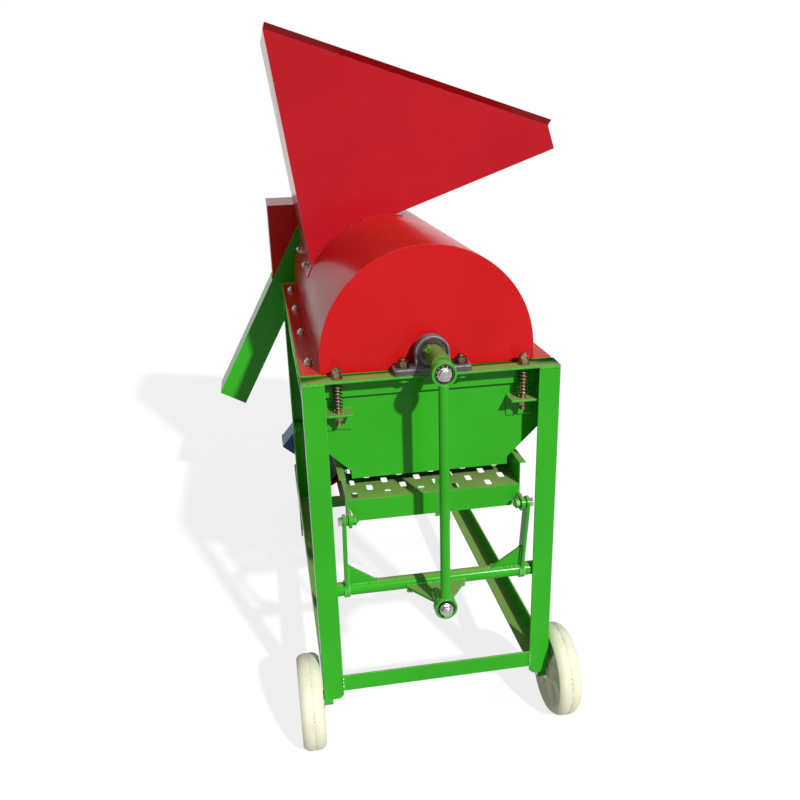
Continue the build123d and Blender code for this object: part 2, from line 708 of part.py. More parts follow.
rotor_run = (COVER_INSET + ROTOR_END_GAP, cover_rear - ROTOR_END_GAP)
rotor_length = rotor_run[1] - rotor_run[0]
discs = []
for index in range(DISC_COUNT):
    start = rotor_run[0] + (rotor_length - DISC_HUB_LENGTH) / (DISC_COUNT - 1) * index
    middle = start + DISC_HUB_LENGTH / 2
    disc = round_y(0, (middle - DISC_WALL / 2, middle + DISC_WALL / 2), shaft_z, DISC_RADIUS)
    disc += round_y(0, (start, start + DISC_HUB_LENGTH), shaft_z, DISC_HUB_RADIUS)
    discs.append(disc - round_y(0, (start - 1, start + DISC_HUB_LENGTH + 1), shaft_z, SHAFT_RADIUS))
beater_seat = math.sqrt(DISC_RADIUS ** 2 - (BEATER_WIDTH / 2) ** 2)
peg_seat = beater_seat + BEATER_WALL
beaters = []
pegs = []
for index in range(BEATER_COUNT):
    turn = Pos(0, 0, shaft_z) * Rot(0, 360.0 / BEATER_COUNT * index, 0)
    bar = turn * block((-BEATER_WIDTH / 2, BEATER_WIDTH / 2), rotor_run, (beater_seat, peg_seat))
    beaters.append(bar)
    discs = [disc - bar for disc in discs]
    for peg in range(PEGS_PER_BAR):
        y = rotor_run[0] + rotor_length / PEGS_PER_BAR * (peg + 0.5)
        pegs.append(turn * round_z(0, y, (peg_seat, peg_seat + PEG_LENGTH), PEG_RADIUS))
keep("rotor_discs", *discs)
keep("beater_bars", *beaters)
keep("beater_pegs", *pegs)

# Crank hub on the front end of the shaft

hub_front = ROD_Y + ROD_PIPE_RADIUS + PIPE_GAP
hub_rear = front_bearing_y - BEARING_INNER_WIDTH / 2
hub = round_y(0, (hub_front, hub_rear), shaft_z, CRANK_HUB_RADIUS)
hub -= round_y(0, (SHAFT_FRONT, hub_rear + 1), shaft_z, SHAFT_RADIUS)
screw_seat = Pos(-CRANK_HUB_RADIUS - 1, SET_SCREW_Y, shaft_z) * Rot(0, -90, 0)
screw_grip = CRANK_HUB_RADIUS + 1 - SHAFT_RADIUS
hub -= screw_seat * round_z(0, 0, (-screw_grip, SET_SCREW_LENGTH), SET_SCREW_SIZE / 2)
screw = screw_seat * bolt(SET_SCREW_SIZE, screw_grip, nut=False, tail=0.0)
screw -= round_y(0, (SHAFT_FRONT, hub_rear), shaft_z, SHAFT_RADIUS)
keep("crank_hub", hub, screw)

# Connecting rod

upper_z = shaft_z - CRANK_THROW
ring_y = (ROD_Y - RING_WIDTH / 2, ROD_Y + RING_WIDTH / 2)
race_y = (ROD_Y - RING_BEARING_WIDTH / 2, ROD_Y + RING_BEARING_WIDTH / 2)
rod = round_z(0, ROD_Y, (LOWER_PIN_Z, upper_z), ROD_PIPE_RADIUS)
rod -= round_z(0, ROD_Y, (LOWER_PIN_Z, upper_z), ROD_PIPE_RADIUS - ROD_PIPE_WALL)
for z in (LOWER_PIN_Z, upper_z):
    rod -= round_y(0, (ROD_Y - RING_RADIUS, ROD_Y + RING_RADIUS), z, RING_BEARING_RADIUS)
    ring = round_y(0, ring_y, z, RING_RADIUS)
    rod += ring - round_y(0, (ring_y[0] - 1, ring_y[1] + 1), z, RING_BEARING_RADIUS)
keep("connecting_rod", rod)

upper_race = round_y(0, race_y, upper_z, RING_BEARING_RADIUS)
upper_race -= round_y(0, (race_y[0] - 1, race_y[1] + 1), upper_z, RING_BOLT_RADIUS)
lower_race = round_y(0, race_y, LOWER_PIN_Z, RING_BEARING_RADIUS)
ball_centre = Pos(0, ROD_Y, LOWER_PIN_Z)
lower_race -= ball_centre * Sphere(BALL_RADIUS + RUN_GAP)
keep("rod_bearings", upper_race, lower_race)


def ring_bolt_head(z):
    """Spacer and hexagon head in front of a ring."""
    spacer = round_y(0, (ring_y[0], race_y[0]), z, RING_SPACER_RADIUS)
    outline = RegularPolygon(RING_HEAD_FLATS, 6, major_radius=False)
    head = extrude(outline, amount=RING_HEAD_HEIGHT)
    return spacer + Pos(0, ring_y[0], z) * Rot(90, 0, 0) * head


upper_bolt = ring_bolt_head(upper_z) + round_y(0, (race_y[0], ring_y[1]), upper_z, RING_BOLT_RADIUS)
upper_bolt += round_y(0, (race_y[1], hub_front - MOVE_GAP), upper_z, RING_SPACER_RADIUS)
keep("rod_upper_bolt", upper_bolt)

# Rocker

rocker_ys = (ROCKER_Y, FRAME_LENGTH - ROCKER_Y)
rocker_bushes = []
for y in rocker_ys:
    bush = round_x((-leg_inside, -leg_inside + ROCKER_BUSH_LENGTH), y, ROCKER_Z, ROCKER_BUSH_RADIUS)
    bore = ROCKER_PIPE_RADIUS + RUN_GAP
    bush -= round_x((-leg_inside - 1, -leg_inside + ROCKER_BUSH_LENGTH + 1), y, ROCKER_Z, bore)
    rocker_bushes += both_sides(bush)
keep("rocker_bushes", *rocker_bushes)


def rocker_pipe(y):
    """Cross shaft of pipe between two legs."""
    end = leg_inside - MOVE_GAP
    pipe = round_x((-end, end), y, ROCKER_Z, ROCKER_PIPE_RADIUS)
    return pipe - round_x((-end - 1, end + 1), y, ROCKER_Z, ROCKER_PIPE_RADIUS - ROCKER_PIPE_WALL)


def rocker_arms(y, gussets):
    """Pair of leaning arms welded to a cross shaft, bored at the top for the sieve bolts."""
    wall = (-ROCKER_ARM_X - ROCKER_ARM_WALL / 2, -ROCKER_ARM_X + ROCKER_ARM_WALL / 2)
    arm = block(wall, (-ROCKER_ARM_WIDTH / 2, ROCKER_ARM_WIDTH / 2), (0, ROCKER_ARM_LENGTH))
    arm += round_x(wall, 0, ROCKER_ARM_LENGTH, ROCKER_ARM_WIDTH / 2)
    if gussets:
        low = ROCKER_PIPE_RADIUS / 2
        toe = wall[1] + GUSSET_LENGTH
        shape = [(wall[1], low), (toe, low), (toe, ROCKER_PIPE_RADIUS)]
        shape += [(wall[1], ROCKER_PIPE_RADIUS + GUSSET_HEIGHT)]
        arm += prism_y(shape, (-GUSSET_WALL / 2, GUSSET_WALL / 2))
    arm -= round_x((wall[0] - 1, wall[1] + GUSSET_LENGTH + 1), 0, 0, ROCKER_PIPE_RADIUS)
    bolt_hole = PIVOT_BOLT_SIZE / 2 + RUN_GAP
    arm -= round_x((wall[0] - 1, wall[1] + 1), 0, ROCKER_ARM_LENGTH, bolt_hole)
    return both_sides(Pos(0, y, ROCKER_Z) * Rot(ROCKER_LEAN, 0, 0) * arm)


keep("rocker_shaft", rocker_pipe(rocker_ys[0]))
keep("rocker_arms", *rocker_arms(rocker_ys[0], True))
keep("rear_links", rocker_pipe(rocker_ys[1]), *rocker_arms(rocker_ys[1], False))

crank = round_y(0, (CRANK_BOSS_FRONT, CRANK_BOSS_REAR), LOWER_PIN_Z, CRANK_BOSS_RADIUS)
wing_z = (LOWER_PIN_Z - CRANK_WING_WALL / 2, LOWER_PIN_Z + CRANK_WING_WALL / 2)
wing = [(-CRANK_WING, ROCKER_Y), (CRANK_WING, ROCKER_Y), (CRANK_BOSS_RADIUS, CRANK_BOSS_FRONT + ANGLE_WALL)]
wing += [(-CRANK_BOSS_RADIUS, CRANK_BOSS_FRONT + ANGLE_WALL)]
crank += prism_z(wing, wing_z)
crank -= round_x((-half, half), ROCKER_Y, ROCKER_Z, ROCKER_PIPE_RADIUS)
crank -= block((-half, half), (ROCKER_Y, ROCKER_Y + half), (0, RAIL_TOP))
crank -= round_y(0, (CRANK_BOSS_FRONT - 1, CRANK_BOSS_REAR + 1), LOWER_PIN_Z, RING_BOLT_RADIUS)
keep("crank_arm", crank)

ball_y = (ROD_Y - BALL_HALF_WIDTH, ROD_Y + BALL_HALF_WIDTH)
ball = ball_centre * Sphere(BALL_RADIUS)
ball &= block((-BALL_RADIUS, BALL_RADIUS), ball_y, (LOWER_PIN_Z - BALL_RADIUS, LOWER_PIN_Z + BALL_RADIUS))
pin = ball + round_y(0, (ball_y[0], CRANK_BOSS_REAR), LOWER_PIN_Z, RING_BOLT_RADIUS)
pin += round_y(0, (ball_y[1], CRANK_BOSS_FRONT), LOWER_PIN_Z, PIN_COLLAR_RADIUS)
head_outline = RegularPolygon(RING_HEAD_FLATS, 6, major_radius=False)
pin_head = extrude(head_outline, amount=RING_HEAD_HEIGHT)
pin_front = ring_y[0] - PIN_HEAD_GAP
pin += round_y(0, (pin_front, ball_y[0]), LOWER_PIN_Z, PIN_COLLAR_RADIUS)
pin += Pos(0, pin_front, LOWER_PIN_Z) * Rot(90, 0, 0) * pin_head
keep("crank_pin", pin)

# Sieve

lean = math.radians(ROCKER_LEAN)
pivot_z = ROCKER_Z + ROCKER_ARM_LENGTH * math.cos(lean)
pivot_ys = [y - ROCKER_ARM_LENGTH * math.sin(lean) for y in rocker_ys]
sieve_rear = FRAME_LENGTH - SIEVE_REAR_INSET
sieve_run = (SIEVE_FRONT, sieve_rear)
floor_top = SIEVE_FLOOR_Z + SHEET

slots = []
slot_left = SLOT_MARGIN - SIEVE_HALF_WIDTH
slot_columns = int((-slot_left * 2 - SLOT_PITCH_X / 2) / SLOT_PITCH_X) + 1
slot_rows = int((sieve_rear - SIEVE_FRONT - SLOT_START * 2) / SLOT_PITCH_Y) + 1
for row in range(slot_rows):
    row_left = slot_left + row % 2 * SLOT_PITCH_X / 2
    for column in range(slot_columns):
        slot = RectangleRounded(SLOT_WIDTH, SLOT_LENGTH, SLOT_CORNER)
        slots.append(Pos(row_left + column * SLOT_PITCH_X, SIEVE_FRONT + SLOT_START + row * SLOT_PITCH_Y) * slot)
floor_middle = (SIEVE_FRONT + sieve_rear) / 2
floor_sheet = Pos(0, floor_middle) * Rectangle(SIEVE_HALF_WIDTH * 2, sieve_rear - SIEVE_FRONT) - slots
sieve_floor = Pos(0, 0, SIEVE_FLOOR_Z) * extrude(floor_sheet, amount=SHEET)
lip_low = SIEVE_HALF_WIDTH - SIEVE_LIP_CUT
lip = [(-SIEVE_HALF_WIDTH, SIEVE_FLOOR_Z), (SIEVE_HALF_WIDTH, SIEVE_FLOOR_Z)]
lip += [(lip_low, SIEVE_FLOOR_Z - SIEVE_LIP_DROP), (-lip_low, SIEVE_FLOOR_Z - SIEVE_LIP_DROP)]
lip_solid = prism_y(lip, (SIEVE_FRONT, SIEVE_FRONT + SHEET))
keep("sieve_floor", sieve_floor + lip_solid)

sieve_side = block((-SIEVE_HALF_WIDTH, -SIEVE_HALF_WIDTH + SHEET), sieve_run, (floor_top, SIEVE_WALL_TOP))
flange_x = (-SIEVE_HALF_WIDTH - SIEVE_TOP_FLANGE, -SIEVE_HALF_WIDTH + SHEET)
sieve_side += block(flange_x, sieve_run, (SIEVE_WALL_TOP - SHEET, SIEVE_WALL_TOP))
keep("sieve_sides", *both_sides(sieve_side))

lug_x = (-SIEVE_HALF_WIDTH, -SIEVE_HALF_WIDTH + LUG_WALL)
front_root = (SIEVE_FRONT, SIEVE_FRONT + LUG_RADIUS * 2)
lug_roots = (front_root, (pivot_ys[1] - LUG_RADIUS, pivot_ys[1] + LUG_RADIUS / 2))
lugs = []
for y, root in zip(pivot_ys, lug_roots):
    eye = round_x(lug_x, y, pivot_z, LUG_RADIUS)
    edge_low = pivot_z - LUG_RADIUS
    web = [(y, edge_low), (root[1], edge_low), (root[1], SIEVE_FLOOR_Z), (root[0], SIEVE_FLOOR_Z)]
    web += [(root[0], pivot_z + LUG_RADIUS), (y, pivot_z + LUG_RADIUS)]
    lug = eye + prism_x(web, lug_x) - lip_solid
    lug -= round_x((lug_x[0] - 1, lug_x[1] + 1), y, pivot_z, PIVOT_BOLT_SIZE / 2)
    lugs += both_sides(lug)
keep("sieve_lugs", *lugs)

arm_out = ROCKER_ARM_X + ROCKER_ARM_WALL / 2
arm_in = ROCKER_ARM_X - ROCKER_ARM_WALL / 2
pivot_bolts = []
for y in pivot_ys:
    seat = Pos(-arm_out - MOVE_GAP, y, pivot_z) * Rot(0, -90, 0)
    grip = arm_out + MOVE_GAP - SIEVE_HALF_WIDTH + LUG_WALL
    pivot = seat * bolt(PIVOT_BOLT_SIZE, grip)
    pivot += round_x((-arm_in + MOVE_GAP, -SIEVE_HALF_WIDTH), y, pivot_z, PIVOT_BOLT_SIZE * 0.9)
    pivot_bolts += both_sides(pivot)
keep("sieve_pivot_bolts", *pivot_bolts)

# Concave box, springs and brackets

box_front = BOX_INSET
box_rear = FRAME_LENGTH - BOX_INSET
box_half_outline = [
    (box_half_width, BOX_TOP),
    (box_half_width, BOX_KNEE),
    (BOX_MOUTH_HALF, BOX_MOUTH_TOP),
    (BOX_MOUTH_HALF, BOX_BOTTOM),
]
box_outline = box_half_outline + [(-px, pz) for px, pz in reversed(box_half_outline)]
box_plates = []
for y in ((box_front, box_front + BOX_WALL), (box_rear - BOX_WALL, box_rear)):
    box_plates.append(prism_y(box_outline, y))

inside_y = (box_front + BOX_WALL, box_rear - BOX_WALL)
knee_shift = BOX_WALL * math.tan(math.atan2(box_half_width - BOX_MOUTH_HALF, BOX_KNEE - BOX_MOUTH_TOP) / 2)
inner_outline = [
    (-BOX_MOUTH_HALF + BOX_WALL, BOX_BOTTOM),
    (-BOX_MOUTH_HALF + BOX_WALL, BOX_MOUTH_TOP + knee_shift),
    (-box_half_width + BOX_WALL, BOX_KNEE + knee_shift),
    (-box_half_width + BOX_WALL, BOX_TOP),
]
side_outline = [(-px, pz) for px, pz in box_half_outline] + inner_outline
keep("concave_box", *box_plates, *both_sides(prism_y(side_outline, inside_y)))

bar_circle = CONCAVE_RADIUS + CONCAVE_BAR_RADIUS
shaft_centre = (0.0, shaft_z)
concave_bars = []
for index in range(CONCAVE_BARS):
    angle = 270 - CONCAVE_SPREAD + 2 * CONCAVE_SPREAD / (CONCAVE_BARS - 1) * index
    x, z = polar(shaft_centre, bar_circle, angle)
    concave_bars.append(round_y(x, inside_y, z, CONCAVE_BAR_RADIUS))
keep("concave_bars", *concave_bars)

rib_in = CONCAVE_RADIUS + RIB_INNER_GAP
rib_out = rib_in + RIB_DEPTH
rib_angles = (270 - CONCAVE_SPREAD - 3, 270 + CONCAVE_SPREAD + 3)
rib_end = polar(shaft_centre, (rib_in + rib_out) / 2, rib_angles[1])
ribs = []
for index in range(RIB_COUNT):
    start = inside_y[0] + (inside_y[1] - inside_y[0] - RIB_WALL) / (RIB_COUNT + 1) * (index + 1)
    rib_y = (start, start + RIB_WALL)
    rib = sector(shaft_centre, (rib_in, rib_out), rib_angles, rib_y)
    for side in (-1, 1):
        ear_x = sorted((side * rib_end[0], side * (box_half_width - BOX_WALL)))
        ear_z = (rib_end[1] - RIB_EAR_HEIGHT, rib_end[1])
        rib += block(ear_x, rib_y, ear_z) - round_y(0, rib_y, shaft_z, rib_in)
    for bar in concave_bars:
        rib -= bar
    ribs.append(rib)
keep("concave_ribs", *ribs)

bracket_under = BRACKET_TOP - ANGLE_WALL
nut_height = SPRING_BOLT_SIZE * 0.8
brackets = []
nuts = []
spring_bolts = []
for y, plate_y, out in ((spring_ys[0], box_front, -1), (spring_ys[1], box_rear, 1)):
    for side in (-1, 1):
        x = side * SPRING_X
        width = (x - BRACKET_LENGTH / 2, x + BRACKET_LENGTH / 2)
        shelf = sorted((plate_y, plate_y + out * ANGLE_SIZE))
        upright = sorted((plate_y, plate_y + out * ANGLE_WALL))
        bracket = block(width, shelf, (bracket_under, BRACKET_TOP))
        bracket += block(width, upright, (BRACKET_TOP - ANGLE_SIZE, bracket_under))
        bracket -= round_z(x, y, (bracket_under - 1, BRACKET_TOP + 1), SPRING_BOLT_SIZE / 2 + BOLT_GAP)
        brackets.append(bracket)
        nut = extrude(RegularPolygon(SPRING_BOLT_SIZE * 0.8, 6, major_radius=False), amount=nut_height)
        nut -= round_z(0, 0, (-1, nut_height + 1), SPRING_BOLT_SIZE / 2 + BOLT_GAP / 2)
        nuts.append(Pos(x, y, bracket_under - nut_height) * nut)
        reach = RAIL_TOP - bracket_under + SPRING_BOLT_TAIL
        spring_bolts.append(Pos(x, y, RAIL_TOP) * bolt(SPRING_BOLT_SIZE, reach, nut=False))
keep("spring_brackets", *brackets)
keep("spring_nuts", *nuts)
keep("spring_bolts", *spring_bolts)


def biarc(start, start_way, end, end_way):
    """Two arcs that leave one point and reach another along given directions."""
    gap = end - start
    ways = start_way + end_way
    bend = 2 * (1 - start_way.dot(end_way))
    reach = (math.sqrt(gap.dot(ways) ** 2 + 2 * bend * gap.dot(gap) / 2) - gap.dot(ways)) / bend
    joint = (start + end + (start_way - end_way) * reach) / 2
    middle_way = (end - end_way * reach) - (start + start_way * reach)
    middle_way = middle_way.normalized()
    return [(start, start_way, joint), (joint, middle_way, end)]


def arc_points(start, way, end, count):
    """Points along the arc that leaves start along a direction and ends at end."""
    chord = end - start
    side = chord - way * chord.dot(way)
    if side.length < 1e-9:
        return [start + chord * (step / count) for step in range(count + 1)]
    normal = side.normalized()
    radius = chord.dot(chord) / (2 * chord.dot(normal))
    sweep_angle = 2 * math.atan2(chord.dot(normal), chord.dot(way))
    points = []
    for step in range(count + 1):
        turn = sweep_angle * step / count
        points.append(start + way * (radius * math.sin(turn)) + normal * (radius * (1 - math.cos(turn))))
    return points


def spring():
    """Compression spring about Z from the rail down to its bracket, one unbroken wire."""
    height = rail_under - BRACKET_TOP
    coil_drop = height - 2 * (SPRING_WIRE + SPRING_LEAD_DROP)
    quarter_drop = coil_drop / (SPRING_QUARTERS - 2)
    fall = -quarter_drop / (math.pi / 2)

    def station(quarter):
        turn = math.pi / 2 * quarter
        if quarter == 0:
            z = height - SPRING_WIRE
        elif quarter == SPRING_QUARTERS:
            z = SPRING_WIRE
        else:
            z = height - SPRING_WIRE - SPRING_LEAD_DROP - quarter_drop * (quarter - 1)
        point = Vector(SPRING_RADIUS * math.cos(turn), SPRING_RADIUS * math.sin(turn), z)
        if quarter in (0, SPRING_QUARTERS):
            return point, Vector(0, 0, -1)
        way = Vector(-SPRING_RADIUS * math.sin(turn), SPRING_RADIUS * math.cos(turn), fall)
        return point, way.normalized()

    first = station(0)[0]
    last = station(SPRING_QUARTERS)[0]
    edges = [Edge.make_line(first + Vector(0, 0, SPRING_WIRE), first)]
    trail = []
    for quarter in range(SPRING_QUARTERS):
        start, start_way = station(quarter)
        end, end_way = station(quarter + 1)
        for arc in biarc(start, start_way, end, end_way):
            points = arc_points(*arc, 8)
            edges.append(Edge.make_three_point_arc(points[0], points[4], points[8]))
            trail += points[:-1]
    edges.append(Edge.make_line(last, last - Vector(0, 0, SPRING_WIRE)))
    least = height
    for index, point in enumerate(trail):
        for other in trail[index + 32:]:
            least = min(least, (point - other).length)
    print("least gap between spring turns", round(least - SPRING_WIRE, 2))
    section = Plane(first + Vector(0, 0, SPRING_WIRE), z_dir=(0, 0, -1)) * Circle(SPRING_WIRE / 2)
    return sweep(section, path=Wire(edges))


coil = spring()
springs = []
for y in spring_ys:
    for side in (-1, 1):
        springs.append(Pos(side * SPRING_X, y, BRACKET_TOP) * coil)
keep("concave_springs", *springs)

# Discharge hood and chute

rear_face = FRAME_LENGTH
chute_top = (CHUTE_TOP[0], RAIL_TOP + CHUTE_TOP[1])
chute_end = (CHUTE_END[0], RAIL_TOP + CHUTE_END[1])
run_x = chute_end[0] - chute_top[0]
run_z = chute_end[1] - chute_top[1]
run_length = math.hypot(run_x, run_z)
chute_side = (-run_z / run_length * CHUTE_WALL, run_x / run_length * CHUTE_WALL)
chute_low_end = (chute_end[0] + chute_side[0], chute_end[1] + chute_side[1])
floor_head = (chute_top[0], chute_low_end[1] + (chute_top[0] - chute_low_end[0]) * run_z / run_x)
chute_front = (rear_face, rear_face + SHEET)
hood_front = chute_front[1]
hood_rear = hood_front + HOOD_DEPTH
chute_rear = (hood_front + CHUTE_DEPTH, hood_front + CHUTE_DEPTH + SHEET)
chute_outline = [chute_top, chute_end, chute_low_end, floor_head]

hood_floor = floor_head[1] + SHEET / 2
hood_top = RAIL_TOP + HOOD_HEIGHT
hood_y = (hood_front, hood_rear)
hood = block((HOOD_LEFT, HOOD_RIGHT), hood_y, (hood_floor, hood_top))
hollow_x = (HOOD_LEFT + SHEET, HOOD_RIGHT - SHEET)
hollow_y = (hood_front + SHEET, hood_rear - SHEET)
hood -= block(hollow_x, hollow_y, (hood_floor + SHEET, hood_top - SHEET))
hood_step = chute_top[0] + SHEET * 2
drop_y = (hollow_y[0], chute_rear[0])
hood -= block((hollow_x[0], hood_step), drop_y, (hood_floor - 1, hood_floor + SHEET + 1))
edge_z = chute_top[1] + (HOOD_LEFT - chute_top[0]) * run_z / run_x
hood -= block((HOOD_LEFT - 1, hollow_x[0] + 1), drop_y, (hood_floor - 1, edge_z))
outlet_hole = block(outlet_x, (rear_face - 1, hollow_y[0] + 1), outlet_z)
hood -= outlet_hole
tongue_x = (CHUTE_TONGUE_LEFT, CHUTE_TONGUE_RIGHT)
tongue_z = (RAIL_TOP - CHUTE_TONGUE_DROP, hood_floor)
hood += block((hood_step, tongue_x[1]), (hood_front, hollow_y[0]), tongue_z)

chute_y = (chute_front[0], chute_rear[1])
chute = prism_y(chute_outline, chute_rear)
chute -= block((HOOD_LEFT, HOOD_RIGHT), hood_y, (hood_floor, hood_top))
chute += prism_y(chute_outline, chute_front)
chute += slab(chute_low_end, floor_head, -SHEET, chute_y)
lid_head = (HOOD_LEFT - SHEET, edge_z - SHEET * run_z / run_x)
chute += slab(chute_end, lid_head, -SHEET, chute_y)
chute += block((tongue_x[0], tongue_x[1]), chute_front, (tongue_z[0], floor_head[1] + RIM))
chute -= outlet_hole
chute_bolt_z = RAIL_TOP - CHUTE_TONGUE_DROP / 2
chute_bolts = []
for x in CHUTE_BOLT_XS:
    hole = round_y(x, (rear_face - 1, hollow_y[0] + 1), chute_bolt_z, CHUTE_BOLT_SIZE / 2 + BOLT_GAP)
    chute -= hole
    hood -= hole
    seat = Pos(x, hollow_y[0], chute_bolt_z) * Rot(-90, 0, 0)
    chute_bolts.append(seat * bolt(CHUTE_BOLT_SIZE, ANGLE_WALL + SHEET * 2))
keep("discharge_hood", hood)
keep("husk_chute", chute)
keep("sheet_bolts", *cover_bolts, *hopper_bolts, *chute_bolts)

duct_y = (end_rear_y[1], rear_face)
duct = block(outlet_x, duct_y, outlet_z)
duct_in_x = (outlet_x[0] + SHEET, outlet_x[1] - SHEET)
duct -= block(duct_in_x, (duct_y[0] - 1, duct_y[1] + 1), (outlet_z[0] + SHEET, outlet_z[1] - SHEET))
keep("outlet_duct", duct)

# Motor, carried behind the frame on two arms

guard_y = (rear_face + GUARD_FRONT, rear_face + GUARD_FRONT + GUARD_DEPTH)
arm_under = ARM_TOP - ANGLE_WALL
base_top = ARM_TOP + MOTOR_BASE
motor_z = base_top + MOTOR_HEIGHT
motor_face = guard_y[1] + MOTOR_GUARD_GAP
body_front = motor_face + MOTOR_NOSE + MOTOR_BELL
body_rear = body_front + MOTOR_BODY
fin_run = (body_front, body_rear - MOTOR_SHIELD)
foot_xs = (MOTOR_X - MOTOR_FOOT_SPREAD, MOTOR_X + MOTOR_FOOT_SPREAD)
base_x = (-half, MOTOR_X * 2 + half)
base_y = (fin_run[0] - MOTOR_BASE, fin_run[1] + MOTOR_BASE)
foot_bolt_ys = (fin_run[0] + MOTOR_BOLT_INSET, fin_run[1] - MOTOR_BOLT_INSET)
foot_seats = [(x, y) for x in foot_xs for y in foot_bolt_ys]

motor = round_y(MOTOR_X, (motor_face, body_rear), motor_z, MOTOR_NOSE_RADIUS)
motor += round_y(MOTOR_X, (body_front, body_rear), motor_z, MOTOR_RADIUS)
motor += round_y(MOTOR_X, (body_front - MOTOR_BELL, body_front), motor_z, MOTOR_FIN_RADIUS)
motor += round_y(MOTOR_X, (fin_run[1], body_rear), motor_z, FAN_COVER_RADIUS)
motor_axis = Pos(MOTOR_X, 0, motor_z)
for index in range(MOTOR_FINS):
    fin = block((-MOTOR_FIN_WALL / 2, MOTOR_FIN_WALL / 2), fin_run, (MOTOR_RADIUS - SHEET, MOTOR_FIN_RADIUS))
    motor += motor_axis * Rot(0, 360.0 / MOTOR_FINS * (index + 0.5), 0) * fin
foot_block_x = (foot_xs[0] - MOTOR_FOOT_EDGE, foot_xs[1] + MOTOR_FOOT_EDGE)
feet = block(foot_block_x, fin_run, (base_top, base_top + MOTOR_FOOT_HEIGHT))
web_half = MOTOR_NOSE_RADIUS
feet += block((MOTOR_X - web_half, MOTOR_X + web_half), fin_run, (base_top, motor_z - MOTOR_RADIUS / 2))
feet -= block((MOTOR_X - web_half / 2, MOTOR_X + web_half / 2), fin_run, (base_top, motor_z - MOTOR_RADIUS))
motor += feet
motor -= round_y(MOTOR_X, (motor_face - 1, body_rear + 1), motor_z, MOTOR_SHAFT_RADIUS + RUN_GAP)
for x, y in foot_seats:
    motor -= round_z(x, y, (base_top - 1, base_top + MOTOR_FOOT_HEIGHT + 1), MOTOR_BOLT_SIZE / 2 + BOLT_GAP)

box_place = motor_axis * Rot(0, 90 - BOX_ANGLE, 0)
box_middle = (body_front + body_rear) / 2
box_run = (box_middle - BOX_LENGTH / 2, box_middle + BOX_LENGTH / 2)
box_seat = box_place * block((-BOX_HALF, BOX_HALF), box_run, (0, BOX_FLOOR))
motor += box_seat - round_y(MOTOR_X, box_run, motor_z, MOTOR_NOSE_RADIUS)
keep("motor_body", motor)

terminal_box = box_place * block((-BOX_HALF, BOX_HALF), box_run, (BOX_FLOOR, BOX_OUTER - BOX_LID))
gland_z = (BOX_FLOOR + BOX_OUTER - BOX_LID) / 2
gland = round_y(0, (box_run[0] - GLAND_LENGTH, box_run[0]), gland_z, GLAND_RADIUS)
terminal_box += box_place * gland
lid = box_place * block((-BOX_HALF, BOX_HALF), box_run, (BOX_OUTER - BOX_LID, BOX_OUTER))
keep("terminal_box", terminal_box, lid)

fan_rear = body_rear + FAN_COVER_LENGTH
fan_cover = round_y(MOTOR_X, (body_rear, fan_rear), motor_z, FAN_COVER_RADIUS)
fan_cover -= round_y(MOTOR_X, (body_rear - 1, fan_rear - SHEET), motor_z, FAN_COVER_RADIUS - SHEET)
for index in range(FAN_HOLES):
    x, z = polar((MOTOR_X, motor_z), FAN_HOLE_RING, 360.0 / FAN_HOLES * index)
    fan_cover -= round_y(x, (fan_rear - SHEET - 1, fan_rear + 1), z, FAN_HOLE_RADIUS)
keep("motor_fan_cover", fan_cover)


def motor_arm(outer, inner, front):
    """Angle arm along Y, its upright flange at the outer X and its top flange under the base plate."""
    inward = 1 if inner > outer else -1
    run = (front, base_y[1])
    upright_x = sorted((outer, outer + inward * ANGLE_WALL))
    arm = block(sorted((outer, inner)), run, (arm_under, ARM_TOP))
    return arm + block(upright_x, run, (ARM_TOP - ANGLE_SIZE, arm_under))


base = block(base_x, base_y, (ARM_TOP, base_top))
arms = [
    motor_arm(base_x[0], base_x[0] + ANGLE_SIZE, rear_face),
    motor_arm(base_x[1], base_x[1] - ANGLE_SIZE, rear_bar_y),
]
motor_bolts = []
for x, y in foot_seats:
    hole = round_z(x, y, (arm_under - 1, base_top + 1), MOTOR_BOLT_SIZE / 2 + BOLT_GAP)
    base -= hole
    arms = [arm - hole for arm in arms]
    seat = Pos(x, y, base_top + MOTOR_FOOT_HEIGHT)
    motor_bolts.append(seat * bolt(MOTOR_BOLT_SIZE, MOTOR_FOOT_HEIGHT + MOTOR_BASE + ANGLE_WALL))
keep("motor_mount", base, *arms)
keep("motor_bolts", *motor_bolts)
motor_shaft_run = (pulley_y[0] - SHEET, fan_rear - FAN_COVER_LENGTH / 4)
keep("motor_shaft", round_y(MOTOR_X, motor_shaft_run, motor_z, MOTOR_SHAFT_RADIUS))

# Belt drive

motor_centre = (MOTOR_X, motor_z)
belt_ys = [belt_y + (index - (BELT_COUNT - 1) / 2) * BELT_PITCH for index in range(BELT_COUNT)]


